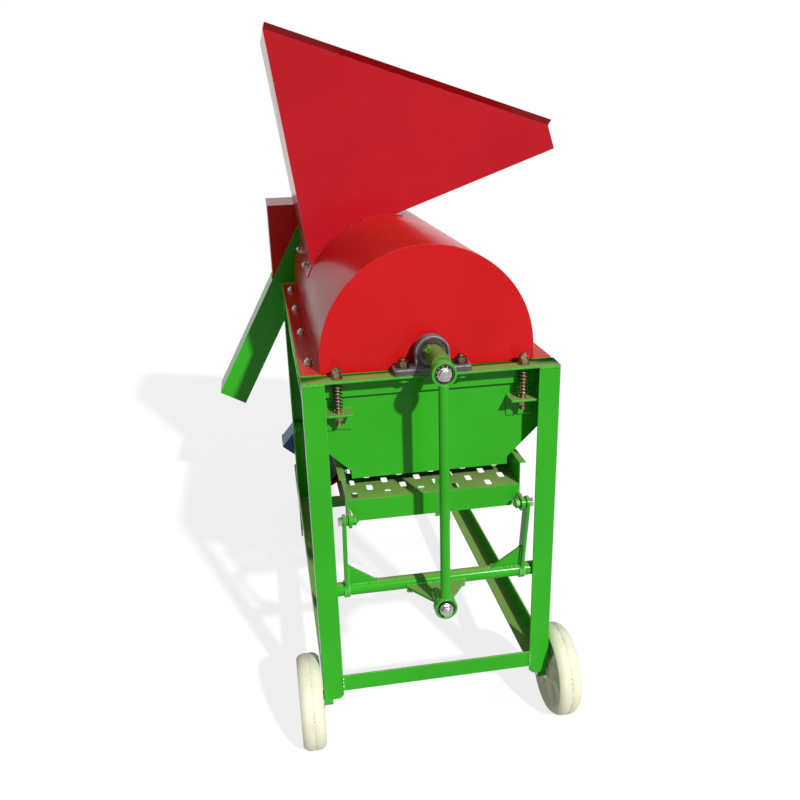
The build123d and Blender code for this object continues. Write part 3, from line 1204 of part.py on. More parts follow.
def pulley(centre, radius, bore, web):
    """Pulley with a V groove for each belt."""
    body = round_y(centre[0], pulley_y, centre[1], radius)
    for y in belt_ys:
        top = BELT_TOP / 2 + BELT_GAP
        low = BELT_BOTTOM / 2 + BELT_GAP
        depth = BELT_DEPTH + BELT_GAP * 2
        mouth = [(radius + 1, -top), (radius + 1, top)]
        section = Polyline(*mouth, (radius - depth, low), (radius - depth, -low), close=True)
        groove = revolve(make_face(section), axis=Axis.Y)
        body -= Pos(centre[0], y, centre[1]) * groove
    if web:
        for y in ((pulley_y[0] - 1, belt_y - PULLEY_WEB / 2), (belt_y + PULLEY_WEB / 2, pulley_y[1] + 1)):
            dish = round_y(centre[0], y, centre[1], radius - PULLEY_RIM)
            body -= dish - round_y(centre[0], y, centre[1], PULLEY_HUB_RADIUS)
        hole_ring = (radius - PULLEY_RIM + PULLEY_HUB_RADIUS) / 2
        hole_radius = (radius - PULLEY_RIM - PULLEY_HUB_RADIUS) / 2 - PULLEY_WEB / 2
        for index in range(PULLEY_HOLES):
            x, z = polar(centre, hole_ring, 360.0 / PULLEY_HOLES * index)
            body -= round_y(x, pulley_y, z, hole_radius)
    return body - round_y(centre[0], (pulley_y[0] - 1, pulley_y[1] + 1), centre[1], bore)


keep("driven_pulley", pulley(shaft_centre, DRIVEN_RADIUS, SHAFT_RADIUS, True))
keep("motor_pulley", pulley(motor_centre, MOTOR_PULLEY_RADIUS, MOTOR_SHAFT_RADIUS, False))


def tangents(big, small):
    """Ends of the two straight runs about both pulleys, on the right and on the left."""
    span_x = motor_centre[0] - shaft_centre[0]
    span_z = motor_centre[1] - shaft_centre[1]
    span = math.hypot(span_x, span_z)
    aim = math.degrees(math.atan2(span_z, span_x))
    swing = math.degrees(math.acos((big - small) / span))
    ends = []
    for angle in (aim + swing, aim - swing):
        ends.append((polar(shaft_centre, big, angle), polar(motor_centre, small, angle)))
    return ends, aim


def belt(y):
    """V-belt about both pulleys."""
    ends, aim = tangents(DRIVEN_RADIUS, MOTOR_PULLEY_RADIUS)

    def at(point):
        return (point[0], y, point[1])

    right, left = ends
    far_top = polar(shaft_centre, DRIVEN_RADIUS, aim + 180)
    far_low = polar(motor_centre, MOTOR_PULLEY_RADIUS, aim)
    path = [
        Edge.make_line(at(left[0]), at(left[1])),
        Edge.make_three_point_arc(at(left[1]), at(far_low), at(right[1])),
        Edge.make_line(at(right[1]), at(right[0])),
        Edge.make_three_point_arc(at(right[0]), at(far_top), at(left[0])),
    ]
    along = Vector(*at(left[1])) - Vector(*at(left[0]))
    start = Plane(at(left[0]), x_dir=(0, 1, 0), z_dir=along)
    centre_side = (Vector(shaft_centre[0], y, shaft_centre[1]) - Vector(*at(left[0]))).normalized()
    inward = 1 if start.y_dir.dot(centre_side) > 0 else -1
    outline = [(-BELT_TOP / 2, 0), (BELT_TOP / 2, 0)]
    outline += [(BELT_BOTTOM / 2, inward * BELT_DEPTH), (-BELT_BOTTOM / 2, inward * BELT_DEPTH)]
    section = start * make_face(Polyline(*outline, close=True))
    return sweep(section, path=Wire(path))


keep("v_belts", *[belt(y) for y in belt_ys])


def loop_solid(grow, y):
    """Round-ended block that follows the belt, grown outwards."""
    big = DRIVEN_RADIUS + grow
    small = MOTOR_PULLEY_RADIUS + grow
    ends, aim = tangents(big, small)
    body = round_y(shaft_centre[0], y, shaft_centre[1], big)
    body += round_y(motor_centre[0], y, motor_centre[1], small)
    return body + prism_y([ends[0][0], ends[0][1], ends[1][1], ends[1][0]], y)


guard = loop_solid(GUARD_GAP + SHEET, guard_y)
guard -= loop_solid(GUARD_GAP, (guard_y[0] - 1, guard_y[1] - SHEET))
guard_cut = (guard_y[1] - SHEET - 1, guard_y[1] + 1)
guard -= round_y(motor_centre[0], guard_cut, motor_centre[1], SHAFT_HOLE)
slot_half = MOTOR_PULLEY_RADIUS - RIM
for index in range(GUARD_SLOTS):
    share = (index + 1) / (GUARD_SLOTS + 1)
    x = motor_centre[0] + (shaft_centre[0] - motor_centre[0]) * share
    z = motor_centre[1] + (shaft_centre[1] - motor_centre[1]) * share
    guard -= block((x - slot_half, x + slot_half), guard_cut, (z - RIM / 2, z + RIM / 2))
ear_y = (rear_face, guard_y[0])
ear_z = (rail_low, RAIL_TOP)
ear_reach = DRIVEN_RADIUS + GUARD_GAP
guard += block((ear_reach - GUARD_EAR, ear_reach), ear_y, ear_z)
low_ear_z = (motor_z - GUARD_EAR / 2, motor_z + GUARD_EAR / 2)
guard += block((-half + ANGLE_WALL, MOTOR_X - MOTOR_PULLEY_RADIUS), ear_y, low_ear_z)
keep("belt_guard", guard)

# Set the middle of the whole at X = Y = 0 and write one file per node

whole = Compound(solids_of(nodes.values())).bounding_box()
shift = Location((-(whole.min.X + whole.max.X) / 2, -(whole.min.Y + whole.max.Y) / 2, -whole.min.Z))
print("shift", [round(value, 4) for value in tuple(shift.position)])
print("size", round(whole.size.X, 1), round(whole.size.Y, 1), round(whole.size.Z, 1))
os.makedirs("parts", exist_ok=True)
for name, shape in nodes.items():
    export_step(shape.moved(shift), os.path.join("parts", name + ".step"))
print(len(nodes), "nodes")
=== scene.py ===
"""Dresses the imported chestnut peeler: paint, metal and plastic finishes, rounded edges, welds,
bolts, bearings, springs and wheels, in a plain studio.

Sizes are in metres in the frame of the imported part: +X to the right seen from the crank end,
+Y from the crank end to the chute end, +Z up, the origin on the floor in the middle.
"""

import json
import logging
import math
import random
from contextlib import contextmanager
from dataclasses import dataclass, field
from enum import Enum
from typing import Callable, Iterator, Optional, Sequence

import bpy
import numpy as np
from mathutils import Matrix, Vector

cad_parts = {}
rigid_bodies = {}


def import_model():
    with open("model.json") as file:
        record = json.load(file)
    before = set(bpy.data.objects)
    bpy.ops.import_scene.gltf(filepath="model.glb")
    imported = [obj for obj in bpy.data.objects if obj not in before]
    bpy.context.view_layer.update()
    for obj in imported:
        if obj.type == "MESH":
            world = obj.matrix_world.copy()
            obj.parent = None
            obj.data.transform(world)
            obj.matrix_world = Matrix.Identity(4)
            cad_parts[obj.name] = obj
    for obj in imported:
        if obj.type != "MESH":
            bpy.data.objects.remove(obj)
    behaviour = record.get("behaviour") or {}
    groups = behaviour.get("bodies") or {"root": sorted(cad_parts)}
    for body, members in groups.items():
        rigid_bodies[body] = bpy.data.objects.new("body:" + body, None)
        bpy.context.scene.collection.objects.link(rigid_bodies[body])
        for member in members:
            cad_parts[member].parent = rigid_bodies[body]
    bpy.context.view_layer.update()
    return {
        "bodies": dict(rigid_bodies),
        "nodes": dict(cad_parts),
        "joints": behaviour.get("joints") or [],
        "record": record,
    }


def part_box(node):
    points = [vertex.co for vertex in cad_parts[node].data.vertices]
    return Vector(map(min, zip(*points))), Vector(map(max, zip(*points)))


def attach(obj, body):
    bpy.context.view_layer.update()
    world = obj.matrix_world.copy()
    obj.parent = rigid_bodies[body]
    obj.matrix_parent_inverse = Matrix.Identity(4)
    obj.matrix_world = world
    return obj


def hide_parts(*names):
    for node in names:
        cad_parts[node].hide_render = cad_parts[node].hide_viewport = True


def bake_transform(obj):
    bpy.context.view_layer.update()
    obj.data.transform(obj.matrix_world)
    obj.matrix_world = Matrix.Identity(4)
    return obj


LOG = logging.getLogger("chestnut_peeler")
MM = 0.001
EDGE_MARK = "edge"
TREAD_MARK = "tread"
SEED = 11
MERGE = 0.01 * MM
UP = Vector((0.0, 0.0, 1.0))
DOWN = Vector((0.0, 0.0, -1.0))
LEFT = Vector((-1.0, 0.0, 0.0))
RIGHT = Vector((1.0, 0.0, 0.0))
FRONT = Vector((0.0, -1.0, 0.0))
BACK = Vector((0.0, 1.0, 0.0))
GREY = (0.5, 0.5, 0.5)
SOOT = (0.02, 0.02, 0.02)
Colour = tuple[float, float, float]
Point = tuple[float, float, float]
Section = Sequence[tuple[float, float]]
Piece = bpy.types.Object
Socket = bpy.types.NodeSocket
Node = bpy.types.Node
NodeTree = bpy.types.NodeTree
Material = bpy.types.Material


# Materials

@dataclass
class Graph:
    """Short hand for building a node tree."""

    tree: NodeTree

    def feed(self, node: Node, name: object, value: object) -> None:
        """Set a node's input to a constant, or link a socket to it.

        Args:
            node: the node.
            name: the input's name or number.
            value: a socket, a number or a colour.
        """
        target = node.inputs[name]
        if isinstance(value, Socket):
            self.tree.links.new(value, target)
        elif isinstance(value, tuple) and len(value) == 3 and target.type == "RGBA":
            target.default_value = (*value, 1.0)
        else:
            target.default_value = value

    def add(self, kind: str, **values: object) -> Node:
        """Add a node and set its properties and inputs.

        Args:
            kind: Blender's name of the node type.
            values: properties by name, and inputs by name with spaces written as underscores.

        Returns:
            The new node.
        """
        node = self.tree.nodes.new(kind)
        for key, value in values.items():
            if hasattr(node, key):
                setattr(node, key, value)
            else:
                self.feed(node, key.replace("_", " "), value)
        return node

    def mix(self, share: object, first: object, second: object) -> Socket:
        """Mix two colours.

        Args:
            share: part of the second colour.
            first: the colour at a share of 0.
            second: the colour at a share of 1.

        Returns:
            The mixed colour's socket.
        """
        node = self.add("ShaderNodeMix", data_type="RGBA")
        for index, value in ((0, share), (6, first), (7, second)):
            self.feed(node, index, value)
        return node.outputs[2]

    def math(self, operation: str, *numbers: object) -> Socket:
        """Work out a number from others.

        Args:
            operation: Blender's name of the operation.
            numbers: the numbers or sockets that it takes.

        Returns:
            The result's socket.
        """
        node = self.add("ShaderNodeMath", operation=operation)
        for index, value in enumerate(numbers):
            self.feed(node, index, value)
        return node.outputs[0]

    def product(self, first: Socket, second: object, third: object) -> Socket:
        """Multiply three numbers."""
        return self.math("MULTIPLY", self.math("MULTIPLY", first, second), third)

    def span(self, value: Socket, low: float, high: float, to_low: float = 0.0,
             to_high: float = 1.0) -> Socket:
        """Map a number from one span to another, held at its ends.

        Args:
            value: the number's socket.
            low: start of the span that is read.
            high: end of the span that is read.
            to_low: result at the start.
            to_high: result at the end.

        Returns:
            The mapped number's socket.
        """
        ends = {"From_Min": low, "From_Max": high, "To_Min": to_low, "To_Max": to_high}
        return self.add("ShaderNodeMapRange", Value=value, **ends).outputs["Result"]

    def noise(self, place: Socket, scale: object, detail: float, roughness: float = 0.55) -> Socket:
        """Add a noise texture.

        Args:
            place: the place on the surface.
            scale: how many spots there are in a metre.
            detail: number of finer layers.
            roughness: weight of the finer layers.

        Returns:
            The noise's socket, from 0 to 1.
        """
        node = self.add("ShaderNodeTexNoise", Vector=place, Scale=scale, Detail=detail, Roughness=roughness)
        return node.outputs[0]

    def spot(self) -> Socket:
        """The place on the piece, in metres."""
        return self.add("ShaderNodeTexCoord").outputs["Object"]

    def mark(self, name: str) -> Socket:
        """Read a piece's own attribute, which is 0 where it has none."""
        return self.add("ShaderNodeAttribute", attribute_name=name).outputs["Fac"]

    def emboss(self, shader: Node, height: Socket, depth: float, strength: float) -> None:
        """Drive a shader's normal by a height.

        Args:
            shader: the shader that takes the normal.
            height: the height's socket.
            depth: height of the relief in metres.
            strength: share of the relief that shows.
        """
        bump = self.add("ShaderNodeBump", Distance=depth, Strength=strength, Height=height)
        self.feed(shader, "Normal", bump.outputs["Normal"])


@dataclass(frozen=True)
class Effect:
    """Node group that several finishes share; its output called Colour is a colour."""

    name: str
    inputs: dict[str, object]
    outputs: tuple[str, ...]
    draw: Callable[[Graph, Node, Node], None]

    def group(self) -> NodeTree:
        """Make the group once and hand it out again later.

        Returns:
            The node group.
        """
        known = bpy.data.node_groups.get(self.name)
        if known is not None:
            return known
        group = bpy.data.node_groups.new(self.name, "ShaderNodeTree")
        for label, value in self.inputs.items():
            kind = "NodeSocketColor" if isinstance(value, tuple) else "NodeSocketFloat"
            socket = group.interface.new_socket(label, in_out="INPUT", socket_type=kind)
            socket.default_value = (*value, 1.0) if isinstance(value, tuple) else value
        for label in self.outputs:
            kind = "NodeSocketColor" if label == "Colour" else "NodeSocketFloat"
            group.interface.new_socket(label, in_out="OUTPUT", socket_type=kind)
        self.draw(Graph(group), group.nodes.new("NodeGroupInput"), group.nodes.new("NodeGroupOutput"))
        return group

    def use(self, graph: Graph, **values: object) -> Node:
        """Place the effect in a material with its own values.

        Args:
            graph: the material's graph.
            values: inputs by name, with spaces written as underscores.

        Returns:
            The group's node.
        """
        node = graph.add("ShaderNodeGroup", node_tree=self.group())
        for key, value in values.items():
            graph.feed(node, key.replace("_", " "), value)
        return node


def draw_paint_skin(graph: Graph, taken: Node, given: Node) -> None:
    """Sprayed enamel: cloudy colour, ripple, specks of dirt and a lighter tint on the rounded edges, which
    is a painted highlight.

    Args:
        graph: the group's graph.
        taken: the group's input node.
        given: the group's output node.
    """
    spot = graph.spot()
    cloud = graph.span(graph.noise(spot, taken.outputs["Cloud Scale"], 4.0), 0.3, 0.7)
    colour = graph.mix(cloud, taken.outputs["Paint"], taken.outputs["Shade"])
    # The rounded edges take a lighter tint of the paint, broken into patches: a painted highlight.
    edge_patches = graph.span(graph.noise(spot, 90.0, 4.0), 0.42, 0.62)
    wear = graph.product(graph.mark(EDGE_MARK), edge_patches, taken.outputs["Wear"])
    colour = graph.mix(wear, colour, taken.outputs["Worn"])
    speck = graph.span(graph.noise(spot, 420.0, 1.0), 0.74, 0.78)
    patch = graph.span(graph.noise(spot, 9.0, 2.0), 0.45, 0.65)
    speck = graph.product(speck, patch, taken.outputs["Specks"])
    graph.feed(given, "Colour", graph.mix(speck, colour, taken.outputs["Dust"]))
    graph.feed(given, "Dirt", graph.math("MAXIMUM", speck, wear))
    graph.feed(given, "Height", graph.math("MULTIPLY_ADD", cloud, 0.3, graph.noise(spot, 260.0, 1.0)))
    graph.feed(given, "Cloud", cloud)


def draw_settled_dust(graph: Graph, taken: Node, given: Node) -> None:
    """Dust that lies in patches on faces that look up.

    Args:
        graph: the group's graph.
        taken: the group's input node.
        given: the group's output node.
    """
    normal = graph.add("ShaderNodeTexCoord").outputs["Normal"]
    up = graph.span(graph.add("ShaderNodeSeparateXYZ", Vector=normal).outputs["Z"], 0.72, 0.98)
    patch = graph.span(graph.noise(graph.spot(), 14.0, 5.0), 0.25, 0.7, 0.45)
    film = graph.product(up, patch, taken.outputs["Amount"])
    graph.feed(given, "Colour", graph.mix(film, taken.outputs["Surface"], taken.outputs["Dust"]))
    graph.feed(given, "Film", film)


def draw_metal_skin(graph: Graph, taken: Node, given: Node) -> None:
    """Bare or plated metal: tarnish clouds, fine grain and lighter rounded edges, part abraded metal and
    part painted highlight.

    Args:
        graph: the group's graph.
        taken: the group's input node.
        given: the group's output node.
    """
    spot = graph.spot()
    cloud = graph.span(graph.noise(spot, taken.outputs["Cloud Scale"], 5.0), 0.35, 0.68)
    stain = graph.math("MULTIPLY", cloud, taken.outputs["Tarnish"])
    colour = graph.mix(stain, taken.outputs["Metal"], taken.outputs["Stain"])
    grain = graph.noise(spot, taken.outputs["Grain Scale"], 2.0)
    colour = graph.mix(graph.span(grain, 0.3, 0.7, 0.0, 0.25), colour, SOOT)
    # The rounded edges take a lighter colour in patches: part abraded metal, part painted highlight.
    edge_patches = graph.span(graph.noise(spot, 120.0, 4.0), 0.36, 0.6)
    wear = graph.product(graph.mark(EDGE_MARK), edge_patches, taken.outputs["Wear"])
    graph.feed(given, "Colour", graph.mix(wear, colour, taken.outputs["Worn"]))
    graph.feed(given, "Stain", stain)
    graph.feed(given, "Height", grain)


PAINT_SKIN = Effect(
    "paint_skin",
    {"Paint": GREY, "Shade": GREY, "Worn": GREY, "Dust": GREY, "Cloud Scale": 6.0, "Wear": 0.5,
     "Specks": 0.5},
    ("Colour", "Dirt", "Height", "Cloud"), draw_paint_skin)
SETTLED_DUST = Effect(
    "settled_dust", {"Surface": GREY, "Dust": GREY, "Amount": 0.3}, ("Colour", "Film"), draw_settled_dust)
METAL_SKIN = Effect(
    "metal_skin",
    {"Metal": GREY, "Stain": GREY, "Worn": GREY, "Wear": 0.0, "Tarnish": 0.4, "Cloud Scale": 60.0,
     "Grain Scale": 900.0},
    ("Colour", "Stain", "Height"), draw_metal_skin)


class Coating:
    """What all finishes share: a material with one Principled shader."""

    def material(self, name: str) -> Material:
        """Build the finish as a material.

        Args:
            name: the material's name.

        Returns:
            The material.
        """
        material = bpy.data.materials.new(name)
        material.use_nodes = True
        material.node_tree.nodes.clear()
        graph = Graph(material.node_tree)
        shader = graph.add("ShaderNodeBsdfPrincipled")
        graph.add("ShaderNodeOutputMaterial", Surface=shader.outputs["BSDF"])
        self.dress(graph, shader)
        return material

    def dress(self, graph: Graph, shader: Node) -> None:
        """Feed the shader, as each finish does in its own way."""
        raise NotImplementedError


@dataclass(frozen=True)
class Enamel(Coating):
    """Glossy sprayed paint on steel sheet and angle iron."""

    paint: Colour
    shade: Colour
    # Lighter tint of the paint for the rounded edges: a painted highlight.
    worn: Colour
    dust: Colour = (0.40, 0.37, 0.16)
    film: float = 0.3
    # Share of the rounded edges that take that painted highlight.
    wear: float = 0.6
    specks: float = 0.5
    gloss: float = 0.14
    shine: float = 0.16
    glance: float = 0.02
    relief: float = 0.06
    ripple: float = 0.6 * MM
    cloud_dull: float = 0.06
    dust_dull: float = 0.7
    dullest: float = 0.85

    def dress(self, graph: Graph, shader: Node) -> None:
        """Feed the shader with the look of paint.

        Args:
            graph: the material's graph.
            shader: its shader.
        """
        skin = PAINT_SKIN.use(graph, Paint=self.paint, Shade=self.shade, Worn=self.worn, Dust=self.dust,
                              Wear=self.wear, Specks=self.specks)
        dust = SETTLED_DUST.use(graph, Surface=skin.outputs["Colour"], Dust=self.dust, Amount=self.film)
        graph.feed(shader, "Base Color", dust.outputs["Colour"])
        clean = graph.span(skin.outputs["Cloud"], 0.0, 1.0, self.gloss, self.gloss + self.cloud_dull)
        dull = graph.math("MULTIPLY_ADD", dust.outputs["Film"], self.dust_dull, clean)
        dull = graph.math("ADD", dull, skin.outputs["Dirt"])
        graph.feed(shader, "Roughness", graph.math("MINIMUM", dull, self.dullest))
        # The plain value stays on the socket for readers that don't follow the link.
        graph.feed(shader, "Specular IOR Level", self.shine)
        facing = graph.add("ShaderNodeLayerWeight", Blend=0.5).outputs["Facing"]
        graph.feed(shader, "Specular IOR Level", graph.span(facing, 0.35, 0.85, self.shine, self.glance))
        graph.emboss(shader, skin.outputs["Height"], self.ripple, self.relief)


@dataclass(frozen=True)
class Metal(Coating):
    """Bare, plated or cast metal."""

    metal: Colour
    stain: Colour
    tarnish: float
    rough: float
    metallic: float = 1.0
    grain: float = 900.0
    relief: float = 0.12
    film: float = 0.0
    dust: Colour = (0.22, 0.21, 0.18)
    # Lighter colour for the rounded edges and its share: part abraded metal, part painted highlight.
    worn: Colour = (0.42, 0.43, 0.45)
    wear: float = 0.0
    stain_dull: float = 0.3
    grain_depth: float = 0.4 * MM

    def dress(self, graph: Graph, shader: Node) -> None:
        """Feed the shader with the look of metal.

        Args:
            graph: the material's graph.
            shader: its shader.
        """
        skin = METAL_SKIN.use(graph, Metal=self.metal, Stain=self.stain, Tarnish=self.tarnish,
                              Grain_Scale=self.grain, Worn=self.worn, Wear=self.wear)
        dust = SETTLED_DUST.use(graph, Surface=skin.outputs["Colour"], Dust=self.dust, Amount=self.film)
        graph.feed(shader, "Base Color", dust.outputs["Colour"])
        graph.feed(shader, "Metallic", self.metallic)
        dull = graph.span(skin.outputs["Stain"], 0.0, 1.0, self.rough, self.rough + self.stain_dull)
        graph.feed(shader, "Roughness", dull)
        graph.emboss(shader, skin.outputs["Height"], self.grain_depth, self.relief)


@dataclass(frozen=True)
class Moulding(Coating):
    """Moulded plastic or rubber with scuffs, ground-in dirt and a soiled tread."""

    body: Colour
    dirt: Colour
    soiled: float
    rough: float
    tread: float = 0.0
    speckled: float = 2.2
    dirt_dull: float = 0.25
    shine: float = 0.3
    grain_depth: float = 0.5 * MM
    relief: float = 0.15

    def dress(self, graph: Graph, shader: Node) -> None:
        """Feed the shader with the look of moulding.

        Args:
            graph: the material's graph.
            shader: its shader.
        """
        spot = graph.spot()
        cloud = graph.span(graph.noise(spot, 22.0, 5.0), 0.42, 0.75, 0.0, self.soiled)
        fine = graph.noise(spot, 300.0, 2.0)
        speck = graph.span(fine, 0.66, 0.74, 0.0, min(1.0, self.soiled * self.speckled))
        patch = graph.span(graph.noise(spot, 30.0, 3.0), 0.40, 0.62, 0.1)
        line = graph.product(graph.mark(TREAD_MARK), patch, graph.span(fine, 0.46, 0.66, 0.0, self.tread))
        dirt = graph.math("MAXIMUM", graph.math("MAXIMUM", cloud, speck), line)
        graph.feed(shader, "Base Color", graph.mix(dirt, self.body, self.dirt))
        graph.feed(shader, "Roughness", graph.span(dirt, 0.0, 1.0, self.rough, self.rough + self.dirt_dull))
        graph.feed(shader, "Specular IOR Level", self.shine)
        graph.emboss(shader, graph.noise(spot, 500.0, 3.0), self.grain_depth, self.relief)


class Finish(Enum):
    """The finishes of the machine, named as the record's material slots where they are the same."""

    # The third colour of each enamel is a lighter tint of its paint for the rounded edges: a painted
    # highlight.
    GREEN_PAINT = Enamel((0.036, 0.455, 0.015), (0.030, 0.395, 0.013), (0.15, 0.60, 0.11), film=0.72)
    # The welds take a lighter green than the frame's paint: a painted highlight on the beads, besides their
    # stronger gloss.
    WELD_PAINT = Enamel((0.07, 0.52, 0.04), (0.040, 0.42, 0.02), (0.22, 0.66, 0.17), film=0.1, gloss=0.08,
                        shine=0.9, glance=0.5, relief=0.9)
    RED_PAINT = Enamel((0.68, 0.012, 0.014), (0.60, 0.009, 0.012), (0.75, 0.09, 0.08), film=0.05, shine=0.10,
                       glance=0.012)
    CRIMSON_PAINT = Enamel((0.53, 0.010, 0.018), (0.47, 0.008, 0.016), (0.66, 0.09, 0.08), film=0.05,
                           shine=0.12, glance=0.05)
    BLUE_PAINT = Enamel((0.06, 0.17, 0.44), (0.045, 0.14, 0.38), (0.16, 0.30, 0.54), film=0.25)
    HUB_PAINT = Enamel((0.085, 0.29, 0.03), (0.07, 0.24, 0.025), (0.24, 0.46, 0.14), film=0.35, shine=0.06)
    BARE_STEEL = Metal((0.40, 0.39, 0.37), (0.20, 0.14, 0.09), 0.40, 0.28)
    OILED_STEEL = Metal((0.15, 0.115, 0.10), (0.06, 0.04, 0.03), 0.6, 0.34)
    DARK_STEEL = Metal((0.12, 0.10, 0.085), (0.14, 0.07, 0.03), 0.4, 0.38)
    SPRING_STEEL = Metal((0.30, 0.23, 0.16), (0.12, 0.06, 0.03), 0.5, 0.26)
    ZINC = Metal((0.52, 0.51, 0.48), (0.30, 0.27, 0.22), 0.45, 0.24)
    AGED_ZINC = Metal((0.34, 0.31, 0.27), (0.14, 0.10, 0.07), 0.6, 0.26)
    BROWNED_ZINC = Metal((0.38, 0.27, 0.16), (0.13, 0.075, 0.045), 0.75, 0.34)
    RUSTED_ZINC = Metal((0.21, 0.135, 0.085), (0.09, 0.05, 0.03), 0.7, 0.34)
    # Cast grey's lighter rounded edges are part abraded paint, part painted highlight.
    CAST_GREY = Metal((0.10, 0.11, 0.12), (0.035, 0.035, 0.036), 0.8, 0.5, metallic=0.15, grain=380.0,
                      relief=0.4, film=0.55, dust=(0.30, 0.30, 0.29), wear=0.7)
    CREAM_WHEEL = Moulding((0.92, 0.90, 0.70), (0.30, 0.22, 0.14), 0.16, 0.45, tread=0.6)
    BLACK_RUBBER = Moulding((0.018, 0.018, 0.018), (0.10, 0.09, 0.08), 0.2, 0.6)

    def on(self, piece: Piece) -> Piece:
        """Give a piece this finish alone.

        Args:
            piece: the piece.

        Returns:
            The same piece.
        """
        name = self.name.lower() + "_finish"
        material = bpy.data.materials.get(name) or self.value.material(name)
        piece.data.materials.clear()
        piece.data.materials.append(material)
        return piece


# Modelling helpers

@dataclass(frozen=True)
class Box:
    """Box round a node or round some points."""

    low: Vector
    high: Vector

    @classmethod
    def of(cls, node: str) -> "Box":
        """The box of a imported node."""
        return cls(*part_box(node))

    @classmethod
    def about(cls, points: np.ndarray) -> "Box":
        """The box round some points."""
        return cls(Vector(points.min(0)), Vector(points.max(0)))

    @property
    def middle(self) -> Vector:
        """The middle of the box."""
        return (self.low + self.high) / 2

    @property
    def half(self) -> Vector:
        """Half the size of the box."""
        return (self.high - self.low) / 2

    def at(self, x: int, y: int, z: int) -> Vector:
        """A corner, face or middle of the box: -1 is the low side, 0 the middle and 1 the high side."""
        return self.middle + self.half * Vector((x, y, z))


def select_only(*pieces: Piece) -> None:
    """Select these pieces alone and make the first one active.

    Args:
        pieces: the pieces.
    """
    bpy.ops.object.select_all(action="DESELECT")
    for piece in pieces:
        piece.select_set(True)
    bpy.context.view_layer.objects.active = pieces[0]


@contextmanager
def edit(piece: Piece, kind: str = "VERT") -> Iterator[None]:
    """Work on a piece in edit mode with everything selected.

    Args:
        piece: the piece.
        kind: what is selected, VERT, EDGE or FACE.
    """
    select_only(piece)
    bpy.ops.object.mode_set(mode="EDIT")
    bpy.ops.mesh.select_mode(type=kind)
    bpy.ops.mesh.select_all(action="SELECT")
    yield
    bpy.ops.object.mode_set(mode="OBJECT")


def settle(piece: Piece) -> None:
    """Put a piece's place into its mesh, so that its object sits at the origin."""
    select_only(piece)
    bpy.ops.object.transform_apply(location=True, rotation=True, scale=True)


def smooth(piece: Piece, degrees: float = 40.0) -> Piece:
    """Shade a piece smooth where its faces meet at less than an angle.

    Args:
        piece: the piece.
        degrees: the angle.

    Returns:
        The same piece.
    """
    select_only(piece)
    bpy.ops.object.shade_smooth_by_angle(angle=math.radians(degrees))
    return piece


def soften(piece: Piece, width: float, segments: int = 2) -> Piece:
    """Round a piece's sharp edges a little and mark the rounded faces, where the finishes paint a lighter
    edge: a painted highlight, and on cast metal also abraded metal.

    Args:
        piece: the piece.
        width: width of the rounding in metres.
        segments: number of faces across it.

    Returns:
        The same piece, with no material.
    """
    mesh = piece.data
    mesh.materials.clear()
    for _ in range(2):
        mesh.materials.append(None)
    select_only(piece)
    bevel = piece.modifiers.new("soft_edges", "BEVEL")
    bevel.width = width
    bevel.segments = segments
    bevel.limit_method = "ANGLE"
    bevel.angle_limit = math.radians(38.0)
    bevel.use_clamp_overlap = False
    bevel.miter_outer = "MITER_ARC"
    bevel.material = 1
    bpy.ops.object.modifier_apply(modifier=bevel.name)
    mesh = piece.data
    rounded = np.zeros(len(mesh.polygons), np.int32)
    mesh.polygons.foreach_get("material_index", rounded)
    mark = mesh.attributes.new(EDGE_MARK, "FLOAT", "FACE")
    mark.data.foreach_set("value", (rounded == 1).astype(np.float32))
    mesh.polygons.foreach_set("material_index", np.zeros(len(mesh.polygons), np.int32))
    smooth(piece, 52.0)
    weights = piece.modifiers.new("flat_faces", "WEIGHTED_NORMAL")
    weights.keep_sharp = True
    weights.weight = 80
    bpy.ops.object.modifier_apply(modifier=weights.name)
    piece.data.materials.clear()
    return piece


def turned(name: str, section: Section, steps: int = 32) -> Piece:
    """Turn a piece about the Z axis, as on a lathe.

    Args:
        name: the piece's name.
        section: radius and height of each point of its section.
        steps: number of sides round the axis.

    Returns:
        The piece.
    """
    bpy.ops.object.select_all(action="DESELECT")
    bpy.ops.mesh.primitive_plane_add(size=1.0)
    piece = bpy.context.active_object
    piece.name = name
    with edit(piece):
        bpy.ops.mesh.merge(type="CENTER")
        bpy.ops.transform.translate(value=(section[0][0], 0.0, section[0][1]))
        for near, far in zip(section, section[1:]):
            stretch = (far[0] - near[0], 0.0, far[1] - near[1])
            bpy.ops.mesh.extrude_region_move(TRANSFORM_OT_translate={"value": stretch})
        bpy.ops.mesh.select_all(action="SELECT")
        bpy.ops.mesh.spin(steps=steps, angle=math.tau, center=(0.0, 0.0, 0.0), axis=UP)
        bpy.ops.mesh.select_all(action="SELECT")
        bpy.ops.mesh.remove_doubles(threshold=MERGE)
        bpy.ops.mesh.normals_make_consistent(inside=False)
    return smooth(piece)


def ring(name: str, inner: float, outer: float, low: float, high: float, chamfer: float = 0.4 * MM) -> Piece:
    """Turn a flat ring with its outer corners taken off.

    Args:
        name: the piece's name.
        inner: inner radius.
        outer: outer radius.
        low: height of its lower face.
        high: height of its upper face.
        chamfer: size of the corner cut.

    Returns:
        The piece.
    """
    section = [(inner, low), (outer - chamfer, low), (outer, low + chamfer), (outer, high - chamfer),
               (outer - chamfer, high), (inner, high), (inner, low)]
    return turned(name, section)


def ball(radius: float, sides: int = 12) -> Piece:
    """Turn a ball about the origin."""
    angles = [math.pi * step / (sides // 2) for step in range(sides // 2 + 1)]
    return turned("ball", [(radius * math.sin(a), -radius * math.cos(a)) for a in angles], sides)


